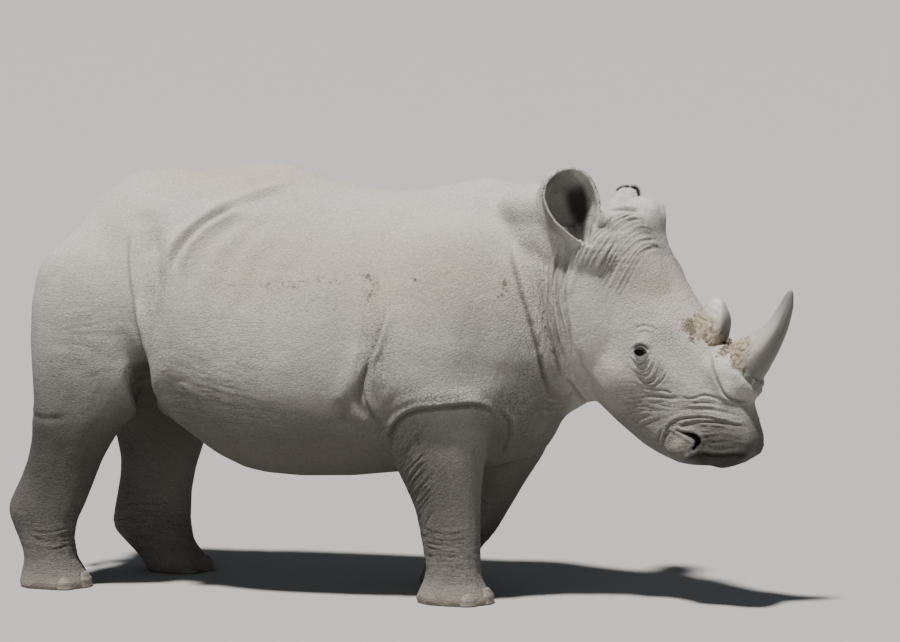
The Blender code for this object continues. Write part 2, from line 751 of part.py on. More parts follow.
def stand_in_the_middle():
    """Moves everything so that the middle of its footprint is the origin. It stands on z = 0 already."""
    corners = [v.co for piece in bpy.data.objects if piece.type == "MESH" for v in piece.data.vertices]
    middle = Vector([(min(c[i] for c in corners) + max(c[i] for c in corners)) / 2 for i in (0, 1)] + [0.0])
    for piece in bpy.data.objects:
        if piece.type == "MESH":
            piece.data.transform(Matrix.Translation(-middle))


main()
stand_in_the_middle()
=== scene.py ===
# %% [markdown]
# # A white rhinoceros cow, life size
# The real animal is one thick grey hide, hung on a barrel of a body and folded wherever the body bends.
# The solids that come with this lesson give its true outline and size, cut into the pieces that a person
# would name. Here they become one skin without a seam, with folds, lids, horns, nails and bristles.

# %% Load the solids
import math
from collections import namedtuple

import bmesh
import bpy
import numpy as np
from mathutils import Matrix, Vector, noise
from mathutils.bvhtree import BVHTree


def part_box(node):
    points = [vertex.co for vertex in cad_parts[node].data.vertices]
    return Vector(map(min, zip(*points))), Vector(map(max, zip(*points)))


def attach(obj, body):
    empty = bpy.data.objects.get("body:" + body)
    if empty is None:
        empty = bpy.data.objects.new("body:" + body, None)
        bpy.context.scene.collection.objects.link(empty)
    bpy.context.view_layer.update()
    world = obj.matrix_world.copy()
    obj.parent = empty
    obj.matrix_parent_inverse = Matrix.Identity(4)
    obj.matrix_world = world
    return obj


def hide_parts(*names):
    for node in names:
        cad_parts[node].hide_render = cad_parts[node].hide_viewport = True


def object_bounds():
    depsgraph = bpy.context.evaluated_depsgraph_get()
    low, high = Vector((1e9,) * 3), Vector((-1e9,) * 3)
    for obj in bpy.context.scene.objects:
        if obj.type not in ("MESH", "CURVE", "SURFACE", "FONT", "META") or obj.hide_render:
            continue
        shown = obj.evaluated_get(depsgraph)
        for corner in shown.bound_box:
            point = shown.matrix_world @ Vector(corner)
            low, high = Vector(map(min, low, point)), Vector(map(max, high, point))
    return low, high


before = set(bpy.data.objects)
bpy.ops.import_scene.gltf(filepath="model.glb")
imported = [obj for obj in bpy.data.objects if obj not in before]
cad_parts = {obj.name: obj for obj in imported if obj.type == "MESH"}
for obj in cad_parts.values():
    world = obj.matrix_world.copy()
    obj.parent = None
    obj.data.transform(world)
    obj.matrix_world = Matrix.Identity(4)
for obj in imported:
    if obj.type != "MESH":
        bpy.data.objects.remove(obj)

solid_box = [[float(c) for c in corner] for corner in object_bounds()]
print("solids reach from", solid_box[0], "to", solid_box[1])

# %% [markdown]
# ## The camera and the light
# The animal is seen from its right side, from a little in front of square and a little above the ground.
# A long lens from far away keeps its legs upright. The light is a large soft lamp high on the camera's
# side, with a pale room all round it, so that the back is bright and the belly falls into shade.

# %% Camera, floor and lights
CAMERA_TURN = math.radians(14.0)  # from square on to the right side, towards the head
CAMERA_RISE = math.radians(5.5)
CAMERA_DISTANCE = 14.0
LOOK_AT = Vector((0.1835, 0.0, 1.075))
LENS_MM = 142.5
SENSOR_MM = 36.0
FLOOR_HALF = 400.0
FLOOR_COLOUR = (0.42, 0.415, 0.40, 1.0)
FLOOR_ROUGHNESS = 0.9
Lamp = namedtuple("Lamp", "name toward strength spread colour")
LAMPS = (
    Lamp("key", (-0.10, -0.34, 1.0), 6.4, 5.0, (1.0, 0.975, 0.94)),
    Lamp("fill", (-0.5, -1.0, 0.45), 0.10, 40.0, (0.90, 0.95, 1.0)),
)
ROOM_COLOUR = (0.80, 0.88, 1.0, 1.0)
ROOM_STRENGTH = 0.11


def new_object(name, data):
    made = bpy.data.objects.new(name, data)
    bpy.context.scene.collection.objects.link(made)
    return made


def place_camera():
    """The camera, turned to the place that it looks at."""
    toward = Vector(
        (
            math.sin(CAMERA_TURN) * math.cos(CAMERA_RISE),
            -math.cos(CAMERA_TURN) * math.cos(CAMERA_RISE),
            math.sin(CAMERA_RISE),
        )
    )
    lens = bpy.data.cameras.new("camera")
    lens.lens = LENS_MM
    lens.sensor_width = SENSOR_MM
    lens.clip_end = 5 * FLOOR_HALF
    camera = new_object("camera", lens)
    camera.location = LOOK_AT + toward * CAMERA_DISTANCE
    camera.rotation_euler = (-toward).to_track_quat("-Z", "Y").to_euler()
    bpy.context.scene.camera = camera
    return camera


def add_sun(lamp):
    """A lamp as far away as the sun, but as wide as a studio's soft box."""
    light = bpy.data.lights.new(lamp.name, "SUN")
    light.energy = lamp.strength
    light.angle = math.radians(lamp.spread)
    light.color = lamp.colour
    holder = new_object(lamp.name, light)
    holder.rotation_euler = Vector(lamp.toward).normalized().to_track_quat("Z", "Y").to_euler()
    return holder


def pale_floor():
    """A plain matt floor out to the horizon."""
    half = FLOOR_HALF
    corners = [(-half, -half, 0), (half, -half, 0), (half, half, 0), (-half, half, 0)]
    mesh = bpy.data.meshes.new("floor")
    mesh.from_pydata(corners, [], [(0, 1, 2, 3)])
    floor = new_object("floor", mesh)
    finish = bpy.data.materials.new("pale_floor")
    finish.use_nodes = True
    shader = finish.node_tree.nodes["Principled BSDF"]
    shader.inputs["Base Color"].default_value = FLOOR_COLOUR
    shader.inputs["Roughness"].default_value = FLOOR_ROUGHNESS
    mesh.materials.append(finish)
    return floor


camera = place_camera()
floor = pale_floor()
for lamp in LAMPS:
    add_sun(lamp)
room = bpy.data.worlds.new("room")
bpy.context.scene.world = room
room.use_nodes = True
background = room.node_tree.nodes["Background"]
background.inputs["Color"].default_value = ROOM_COLOUR
background.inputs["Strength"].default_value = ROOM_STRENGTH
print("camera stands at", [round(c, 2) for c in camera.location])

# %% [markdown]
# ## Where the head is
# The head is turned and pitched, so its folds are easiest to place in its own directions: along the face,
# out to the left, and up from the face. The two eyes are solids of their own, and a line through their
# middles is square to the face, so the head's frame is measured from them.

# %% The head's own frame
HEAD_PITCH = math.radians(55.0)
EYE_ALONG = 0.474  # the eyes, along the face from the poll
EYE_UP = -0.110
EYE_RADIUS = 0.024


def middle_of(node):
    low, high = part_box(node)
    return (Vector(low) + Vector(high)) / 2


def head_frame():
    """A matrix from the head's directions to the animal's."""
    right, left = middle_of("eye_right"), middle_of("eye_left")
    out = (left - right).normalized()
    level = out.cross(Vector((0.0, 0.0, 1.0)))
    along = level * math.cos(HEAD_PITCH) - Vector((0.0, 0.0, math.sin(HEAD_PITCH)))
    up = along.cross(out)
    origin = (left + right) / 2 - along * EYE_ALONG - up * EYE_UP
    frame_of_head = Matrix((along, out, up)).transposed().to_4x4()
    frame_of_head.translation = origin
    return frame_of_head


HEAD = head_frame()
TO_HEAD = HEAD.inverted()
EYE_OUT = (middle_of("eye_left") - middle_of("eye_right")).length / 2
print("poll at", [round(c, 3) for c in HEAD.translation], "eyes", round(EYE_OUT * 2, 3), "m apart")

# %% [markdown]
# ## One skin
# A hide could be modelled as one cage of quads, or each solid could be smoothed alone, which would leave
# the cuts between them open. Instead copies of the solids are swollen by a millimetre so that neighbours
# overlap, joined, and remeshed on a grid of small cubes, which keeps only the outer surface. The holes
# where the horns and eyes sit are plugged first, so that the skin runs on beneath them.

# %% Copies of the solids
FEET = ("front_right", "front_left", "hind_right", "hind_left")
FLESH = ["trunk", "neck", "head", "tail", "ear_right", "ear_left"] + ["leg_" + foot for foot in FEET]
NAILS = ["nail_" + foot + "_" + str(k) for foot in FEET for k in (1, 2, 3)]


def merged_copy(name):
    """A node's shape as a bmesh with its loose triangles sewn together. The node itself isn't touched."""
    bm = bmesh.new()
    bm.from_mesh(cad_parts[name].data)
    bmesh.ops.remove_doubles(bm, verts=bm.verts, dist=1e-5)
    bm.normal_update()
    return bm


def object_of(bm, name):
    """A bmesh as a new object. The bmesh is freed."""
    mesh = bpy.data.meshes.new(name)
    bm.to_mesh(mesh)
    bm.free()
    return new_object(name, mesh)


def add_to(whole, part):
    """Adds one bmesh to another, and frees the one added."""
    holder = bpy.data.meshes.new("holder")
    part.to_mesh(holder)
    part.free()
    whole.from_mesh(holder)
    bpy.data.meshes.remove(holder)


def swollen(name, by):
    bm = merged_copy(name)
    places = [v.co + v.normal * by for v in bm.verts]
    for v, place in zip(bm.verts, places):
        v.co = place
    return bm


print("flesh of", len(FLESH), "solids, and", len(NAILS), "nails")

# %% [markdown]
# ## The ears' cups
# An ear's solid is closed, but a real ear is a deep cup rolled round its root. So the room in the cup, and
# the open air before its mouth, is made as a solid of its own, ring by ring along the ear, and cut away.

# %% The room in the cups
Cup = namedtuple("Cup", "along half_width depth mouth")
CUPS = (
    Cup(-0.052, 0.018, 0.018, 0.004),
    Cup(-0.020, 0.040, 0.044, 0.018),
    Cup(0.010, 0.055, 0.055, 0.032),
    Cup(0.050, 0.080, 0.072, 0.052),
    Cup(0.100, 0.096, 0.080, 0.075),
    Cup(0.160, 0.096, 0.070, 0.085),
    Cup(0.245, 0.050, 0.020, 0.060),
)
EARS = {
    "ear_right": ((0.192, -0.192, 1.448), (0.136, -0.258, 1.698), (0.880, -0.850, 0.000)),
    "ear_left": ((0.200, 0.125, 1.445), (0.158, 0.272, 1.505), (0.600, 0.500, -0.600)),
}
EAR_FROM_POLL = 0.25  # how far behind the poll the ears' places are measured from
EAR_WALL = 0.012


def ear_axes(node):
    """An ear's root, the way it points, the way across it and the way its cup opens."""
    root, tip, opening = (Vector(v) for v in EARS[node])
    out = HEAD.to_3x3() @ Vector((0.0, 1.0, 0.0))
    up = Vector((0.0, 0.0, 1.0))
    level = out.cross(up)
    turned = Matrix((level, out, up)).transposed()
    start = HEAD.translation - level * EAR_FROM_POLL
    start.z = 0.0
    foot, top = start + turned @ root, start + turned @ tip
    along = (top - foot).normalized()
    way = turned @ opening
    way = (way - along * way.dot(along)).normalized()
    return foot, along, along.cross(way), way


def cup_room(node):
    """The room in an ear's cup and before its mouth, as a closed solid."""
    foot, along, across, way = ear_axes(node)
    bm = bmesh.new()
    loops = []
    for cup in CUPS:
        middle = foot + along * cup.along
        arc = [(cup.mouth, 0.20), (cup.mouth, 0.02)]
        for k in range(9):
            angle = math.pi * (k / 8 - 0.5)
            arc.append((-cup.half_width * math.sin(angle), -cup.depth * math.cos(angle)))
        arc += [(-cup.mouth, 0.02), (-cup.mouth, 0.20)]
        loops.append([bm.verts.new(middle + across * a + way * b) for a, b in arc])
    for lower, upper in zip(loops, loops[1:]):
        for k in range(len(lower)):
            n = (k + 1) % len(lower)
            bm.faces.new((lower[k], lower[n], upper[n], upper[k]))
    bm.faces.new(loops[0])
    bm.faces.new(loops[-1])
    bmesh.ops.triangulate(bm, faces=bm.faces)
    bmesh.ops.recalc_face_normals(bm, faces=bm.faces)
    return bm


def without_cups(bm):
    """The flesh with the room of both ears' cups cut out of it."""
    flesh = object_of(bm, "flesh")
    for node in EARS:
        cutter = object_of(cup_room(node), "room")
        cut = flesh.modifiers.new("cup", "BOOLEAN")
        cut.operation = "DIFFERENCE"
        cut.solver = "EXACT"
        cut.object = cutter
        settle(flesh)
        bpy.data.objects.remove(cutter)
    made = bmesh.new()
    made.from_mesh(flesh.data)
    bpy.data.objects.remove(flesh)
    return made


print("cups are cut by a loft of", len(CUPS), "rings")

# %% [markdown]
# ## Join the flesh
# Pads of flesh fill the neck and the scalp round the ears' roots, where muscles that turn the ear lie. A
# horn's copy, pressed flat, plugs the hole that the horn sits in. Then one remesh turns it all into a skin.

# %% Pads, plugs and the remesh
SWELL = 0.0012  # how far neighbours are swollen into each other
NAIL_SINK = 0.003  # how far the skin lies below the nails' faces
EYE_COVER = 0.003  # how far the lids' skin lies above the eyes
HORN_SEATS = (("horn_front", 0.150), ("horn_rear", 0.122))  # how high the skin reaches into each horn
PLUG_SWELL = 0.002
PRESSED = 0.02  # the share of its height that a horn's plug keeps above its ceiling
VOXEL = 0.005
Pad = namedtuple("Pad", "middle reach")
PADS = (
    Pad((0.832, -0.152, 1.478), (0.056, 0.056, 0.046)),
    Pad((0.824, -0.186, 1.496), (0.034, 0.036, 0.036)),
    Pad((0.644, -0.210, 1.545), (0.066, 0.060, 0.142)),
    Pad((0.560, -0.116, 1.520), (0.160, 0.124, 0.112)),
    Pad((0.570, -0.128, 1.425), (0.150, 0.117, 0.130)),
    Pad((0.640, -0.205, 1.410), (0.075, 0.050, 0.125)),
)


def pad_solid(pad):
    bm = bmesh.new()
    bmesh.ops.create_icosphere(bm, subdivisions=3, radius=1.0)
    shape = Matrix.LocRotScale(Vector(pad.middle), None, Vector(pad.reach))
    bmesh.ops.transform(bm, matrix=shape, verts=bm.verts)
    return bm


def horn_plug(name, ceiling):
    """A copy of a horn pressed down to a level just under the skin, which fills the hole that it sits in."""
    bm = swollen(name, PLUG_SWELL)
    for v in bm.verts:
        place = TO_HEAD @ v.co
        place.z = min(place.z, ceiling + PRESSED * (place.z - ceiling))
        v.co = HEAD @ place
    return bm


def settle(made):
    """Replaces an object's mesh by what its modifiers make, and takes them off."""
    graph = bpy.context.evaluated_depsgraph_get()
    mesh = bpy.data.meshes.new_from_object(made.evaluated_get(graph))
    made.modifiers.clear()
    made.data = mesh
    return made


def remeshed(made, voxel):
    step = made.modifiers.new("remesh", "REMESH")
    step.mode = "VOXEL"
    step.voxel_size = voxel
    return settle(made)


def smoothed(made, passes, weights=None):
    """Evens the surface out, by a weight for each vertex where some places are to stay firm."""
    step = made.modifiers.new("smooth", "SMOOTH")
    step.factor = 0.5
    step.iterations = passes
    if weights is not None:
        group = made.vertex_groups.new(name="soft")
        for level in range(1, 11):
            chosen = np.nonzero(np.round(weights * 10).astype(int) == level)[0]
            group.add([int(i) for i in chosen], level / 10, "REPLACE")
        step.vertex_group = "soft"
    settle(made)
    made.vertex_groups.clear()
    return made


def gather_skin():
    whole = bmesh.new()
    for name in FLESH:
        part = swollen(name, SWELL)
        add_to(whole, without_cups(part) if name in ("head", "neck", "trunk") else part)
    for pad in PADS:
        add_to(whole, without_cups(pad_solid(pad)))
    for name in NAILS:
        add_to(whole, swollen(name, -NAIL_SINK))
    for name in ("eye_right", "eye_left"):
        add_to(whole, swollen(name, EYE_COVER))
    for name, ceiling in HORN_SEATS:
        add_to(whole, horn_plug(name, ceiling))
    return remeshed(object_of(whole, "skin"), VOXEL)


skin = gather_skin()
print("skin remeshed into", len(skin.data.polygons), "faces")

# %% [markdown]
# ## Smooth away the facets
# The solids are made of flat triangles a hand across. Many light passes of smoothing melt them into the
# rounded forms of fat and muscle. Thin and sharp places, such as ears, lips and soles, would melt away too,
# so each vertex gets a weight that says how soft it is.

# %% Soften the forms, the thin places less
def table_of(made):
    """An object's vertices as an array."""
    places = np.empty(len(made.data.vertices) * 3)
    made.data.vertices.foreach_get("co", places)
    return places.reshape(-1, 3)


def normals_of(made):
    ways = np.empty(len(made.data.vertices) * 3)
    made.data.vertices.foreach_get("normal", ways)
    return ways.reshape(-1, 3)


def put_back(made, places):
    made.data.vertices.foreach_set("co", places.ravel())
    made.data.update()


def kept_up(made):
    """Lifts whatever has sunk below the floor back to it, and gives the places."""
    places = table_of(made)
    places[:, 2] = np.maximum(places[:, 2], 0.0)
    put_back(made, places)
    return places


def step_between(values, low, high):
    """0 below low, 1 above high, and a smooth ramp between them. High may be the smaller one."""
    t = np.clip((values - low) / (high - low), 0.0, 1.0)
    return t * t * (3 - 2 * t)


def in_head(places):
    """Places in the head's own directions."""
    matrix = np.array(TO_HEAD)
    return places @ matrix[:3, :3].T + matrix[:3, 3]


def near_box(places, node, margin):
    """How much each place belongs to a node's box: 1 inside it, 0 at a margin away."""
    low, high = (np.array(corner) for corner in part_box(node))
    outside = np.linalg.norm(np.maximum(np.maximum(low - places, places - high), 0.0), axis=1)
    return 1.0 - np.clip(outside / margin, 0.0, 1.0)


def softness(places):
    soft = step_between(places[:, 2], 0.03, 0.30)
    on_head = step_between(places[:, 0], 0.70, 0.86) * step_between(places[:, 2], 0.3, 0.5)
    soft *= 1.0 - 0.45 * on_head
    for node in ("ear_right", "ear_left"):
        soft *= 1.0 - 0.93 * near_box(places, node, 0.03)
    soft *= 1.0 - 0.5 * near_box(places, "tail", 0.02)
    return soft


BLENDS = (  # places where one form runs into the next, each with its reach
    ((0.835, -0.155, 1.492), 0.100),
    ((0.812, -0.236, 1.450), 0.055),
    ((0.640, -0.225, 1.410), 0.130),
    ((0.530, -0.160, 1.560), 0.190),
    ((0.530, -0.220, 1.440), 0.150),
    ((-0.930, -0.300, 0.745), 0.120),
    ((0.700, -0.240, 1.380), 0.090),
)


def blended(places):
    """Full in the middle of each place where one form runs into the next, and none away from them."""
    total = np.zeros(len(places))
    for middle, reach in BLENDS:
        away = np.linalg.norm(places - np.array(middle), axis=1)
        total = np.maximum(total, step_between(away, reach, 0.35 * reach))
    return total


FORM_PASSES = 60
BLEND_PASSES = 60
LAST_PASSES = 6
smoothed(skin, FORM_PASSES, softness(table_of(skin)))
smoothed(skin, BLEND_PASSES, blended(table_of(skin)))
smoothed(skin, LAST_PASSES)
print("skin softened, now", [round(float(c), 3) for c in table_of(skin).min(axis=0)], "at its least")

# %% [markdown]
# ## Room for detail
# A fold needs several rows of faces across it. Making the whole grid that fine would cost millions of
# faces, so only the head is divided again, and the places round the eyes, nostrils and lips once more.

# %% Divide the head, the eyes and the muzzle
def divide(made, chosen):
    """Cuts every face in four where all of its corners are chosen."""
    bm = bmesh.new()
    bm.from_mesh(made.data)
    bm.verts.ensure_lookup_table()
    edges = [e for e in bm.edges if chosen[e.verts[0].index] and chosen[e.verts[1].index]]
    bmesh.ops.subdivide_edges(bm, edges=edges, cuts=1, use_grid_fill=True)
    bm.to_mesh(made.data)
    bm.free()


def around(places, centre, reach):
    return np.linalg.norm(places - np.array(centre), axis=1) < reach


def head_point(along, out, up):
    return HEAD @ Vector((along, out, up))


def face_zone(places):
    """The head and the folded front of the neck."""
    return (places[:, 0] > 0.60) & (places[:, 2] > 0.45)


SIDES = (-1, 1)  # the right side and the left side
EYE = (EYE_ALONG, EYE_OUT, EYE_UP)
NOSTRIL = (0.850, 0.125, -0.150)
divide(skin, face_zone(table_of(skin)))
for zones in (((EYE, 0.060), (NOSTRIL, 0.085)), ((EYE, 0.040),)):
    places = table_of(skin)
    fine = np.zeros(len(places), bool)
    for side in SIDES:
        for (along, out, up), reach in zones:
            fine |= around(places, head_point(along, side * out, up), reach)
    divide(skin, fine)
print("skin now has", len(skin.data.polygons), "faces")

# %% [markdown]
# ## How a fold is drawn
# A sculptor would pull folds with a brush. A stroke here does the same: a few points in the side view are
# joined by a smooth curve, the curve is laid on the skin, and every vertex near it is moved along its own
# normal by a profile, such as a sharp crease with soft shoulders, a ridge, or an edge of hide that lies
# over its neighbour. Each stroke is drawn on both flanks, as the hide is nearly the same on both.

# %% Strokes, and the curves laid on the skin
# a stroke's dark is how much painted shade and dirt its groove gets, or None to work it out
Stroke = namedtuple("Stroke", "frame kind width height points dark", defaults=(None,))
ON_BODY, ON_HEAD = "body", "head"
GLANCING = 0.30  # below this a curve would run over the edge of the form, where it can't be placed well


def curve_through(points, spacing=0.004):
    """A Catmull-Rom curve through the points, in steps of about the spacing."""
    table = np.array(points, float)
    ends = np.vstack([2 * table[0] - table[1], table, 2 * table[-1] - table[-2]])
    made = []
    for i in range(len(table) - 1):
        a, b, c, d = ends[i : i + 4]
        steps = max(2, int(np.linalg.norm(c - b) / spacing))
        for t in np.arange(steps) / steps:
            squared = (2 * a - 5 * b + 4 * c - d) * t**2
            cubed = (3 * b - a - 3 * c + d) * t**3
            made.append(0.5 * (2 * b + (c - a) * t + squared + cubed))
    made.append(table[-1])
    return np.array(made)


def tree_of(made):
    """The skin as it is now, to lay curves on."""
    mesh = made.data
    mesh.calc_loop_triangles()
    corners = np.empty(len(mesh.loop_triangles) * 3, int)
    mesh.loop_triangles.foreach_get("vertices", corners)
    return BVHTree.FromPolygons([Vector(p) for p in table_of(made)], corners.reshape(-1, 3).tolist())


def bare_tree():
    """The solids without the ears, so that a curve drawn across the head isn't caught on an ear."""
    whole = bmesh.new()
    for name in FLESH:
        if not name.startswith("ear"):
            add_to(whole, merged_copy(name))
    tree = BVHTree.FromBMesh(whole)
    whole.free()
    return tree


def laid(stroke, side):
    """A stroke's curve on the skin of one side: places and normals, as arrays."""
    places, ways = [], []
    for first, second in curve_through(stroke.points):
        if stroke.frame == ON_HEAD:
            start = HEAD @ Vector((first, side * 0.6, second))
            way = HEAD.to_3x3() @ Vector((0.0, -side, 0.0))
        else:
            start = Vector((first, side * 1.2, second))
            way = Vector((0.0, -side, 0.0))
        hit = BARE.ray_cast(start, way)
        if hit[0] is None or (stroke.frame == ON_HEAD and abs(hit[1].dot(way)) < GLANCING):
            continue
        near = SKIN_TREE.find_nearest(hit[0])
        places.append(near[0])
        ways.append(near[1])
    return np.array(places).reshape(-1, 3), np.array(ways).reshape(-1, 3)


def evened(rows, passes=6):
    """The rows with each one drawn to its neighbours, the ends held, to take small jogs out of a curve."""
    rows = rows.copy()
    for _ in range(passes):
        rows[1:-1] = 0.25 * rows[:-2] + 0.5 * rows[1:-1] + 0.25 * rows[2:]
    return rows


BARE = bare_tree()
SKIN_TREE = tree_of(skin)
print("curves can be laid on", len(skin.data.vertices), "vertices")

# %% [markdown]
# ## Press a stroke into the skin
# Across its curve a stroke has a profile: a crease is a groove between soft shoulders, a ridge is a hump,
# and an edge or a roll stands over a groove. Along its curve it tapers to nothing at both ends. A family
# of strokes is spread between two drawn ones, each strayed by chance from an even place.

# %% Profiles, and the press
def hump(x, middle, width):
    return np.exp(-(((x - middle) / width) ** 2))


def length_along(line):
    """How far along a curve each of its points lies."""
    return np.concatenate([[0.0], np.cumsum(np.linalg.norm(np.diff(line, axis=0), axis=1))])


def darkness(stroke):
    """Painted shade and dirt in a stroke's groove: most in narrow deep ones, and under edges and rolls."""
    if stroke.dark is not None:
        return stroke.dark
    steep = min(1.0, 1.7 * stroke.height / stroke.width)
    share = min(0.45, 0.004 / stroke.width)
    return steep * share * (1.7 if stroke.kind in ("edge", "roll") else 1.0)


def profile(kind, d, width):
    """Height and shade across a stroke, where d runs from its lower or rear side to the other."""
    if kind == "crease":
        return -hump(d, 0, width) + 0.35 * hump(abs(d), 2.3 * width, 1.3 * width), hump(d, 0, 0.9 * width)
    if kind == "ridge":
        return hump(d, 0, width), 0.0 * d
    if kind == "edge":
        height = hump(d, 0.9 * width, 1.2 * width) - 0.6 * hump(d, -0.45 * width, 0.6 * width)
        return height, hump(d, -0.40 * width, 0.5 * width)
    height = hump(d, 0.9 * width, 0.9 * width) - 1.1 * hump(d, -0.40 * width, 0.50 * width)
    return height, hump(d, -0.35 * width, 0.5 * width)


def press(stroke, side, places, ways, lift, shade):
    """Adds what one stroke does on one side to the lift and the shade of every vertex."""
    line, facing = laid(stroke, side)
    if len(line) < 4:
        return
    line, facing = evened(line), evened(facing)
    reach = 4.2 * stroke.width
    low, high = line.min(axis=0) - reach, line.max(axis=0) + reach
    chosen = np.nonzero(np.all((places > low) & (places < high), axis=1))[0]
    if not len(chosen):
        return
    tangent = np.gradient(line, axis=0)
    tangent /= np.linalg.norm(tangent, axis=1)[:, None] + 1e-12
    across = side * np.cross(tangent, facing)
    gone = length_along(line)
    gone /= gone[-1]
    spot = places[chosen]
    nearest = np.zeros(len(chosen), int)
    best = np.full(len(chosen), 1e9)
    for k in range(len(line)):
        far = ((spot - line[k]) ** 2).sum(axis=1)
        closer = far < best
        best[closer] = far[closer]
        nearest[closer] = k
    offset = spot - line[nearest]
    sign = np.sign((offset * across[nearest]).sum(axis=1) + 1e-9)
    d = sign * np.sqrt(best)
    height, dark = profile(stroke.kind, d, stroke.width)
    taper = step_between(gone[nearest], 0.0, 0.22) * step_between(gone[nearest], 1.0, 0.78)
    same_way = step_between((ways[chosen] * facing[nearest]).sum(axis=1), 0.05, 0.45)
    strength = taper * same_way
    lift[chosen] += stroke.height * height * strength
    shade[chosen] = np.maximum(shade[chosen], dark * strength * darkness(stroke))


def between(first, last, count, seed, stray=0.004):
    """Strokes between two others of as many points, each straying a little from its even place."""
    chance = np.random.default_rng(seed)
    a, b = np.array(first.points, float), np.array(last.points, float)
    made = []
    for k in range(count):
        t = (k + 1) / (count + 1)
        points = a * (1 - t) + b * t + chance.normal(0.0, stray, a.shape)
        width = (first.width * (1 - t) + last.width * t) * chance.uniform(0.75, 1.25)
        height = (first.height * (1 - t) + last.height * t) * chance.uniform(0.6, 1.3)
        made.append(Stroke(first.frame, first.kind, width, height, points))
    return made


across = np.linspace(-1.0, 1.0, 201)
for kind in ("crease", "ridge", "edge", "roll"):
    height = profile(kind, across, 0.2)[0]
    print(kind, "runs from", round(height.min(), 2), "to", round(height.max(), 2), "of its height")

# %% [markdown]
# ## The great folds of the body
# The hide is stiff, so it folds at the same places in every animal of the kind: before the thigh, behind
# the shoulder, over the elbow and across the neck. Over the loins the ribs and the hip show through it.

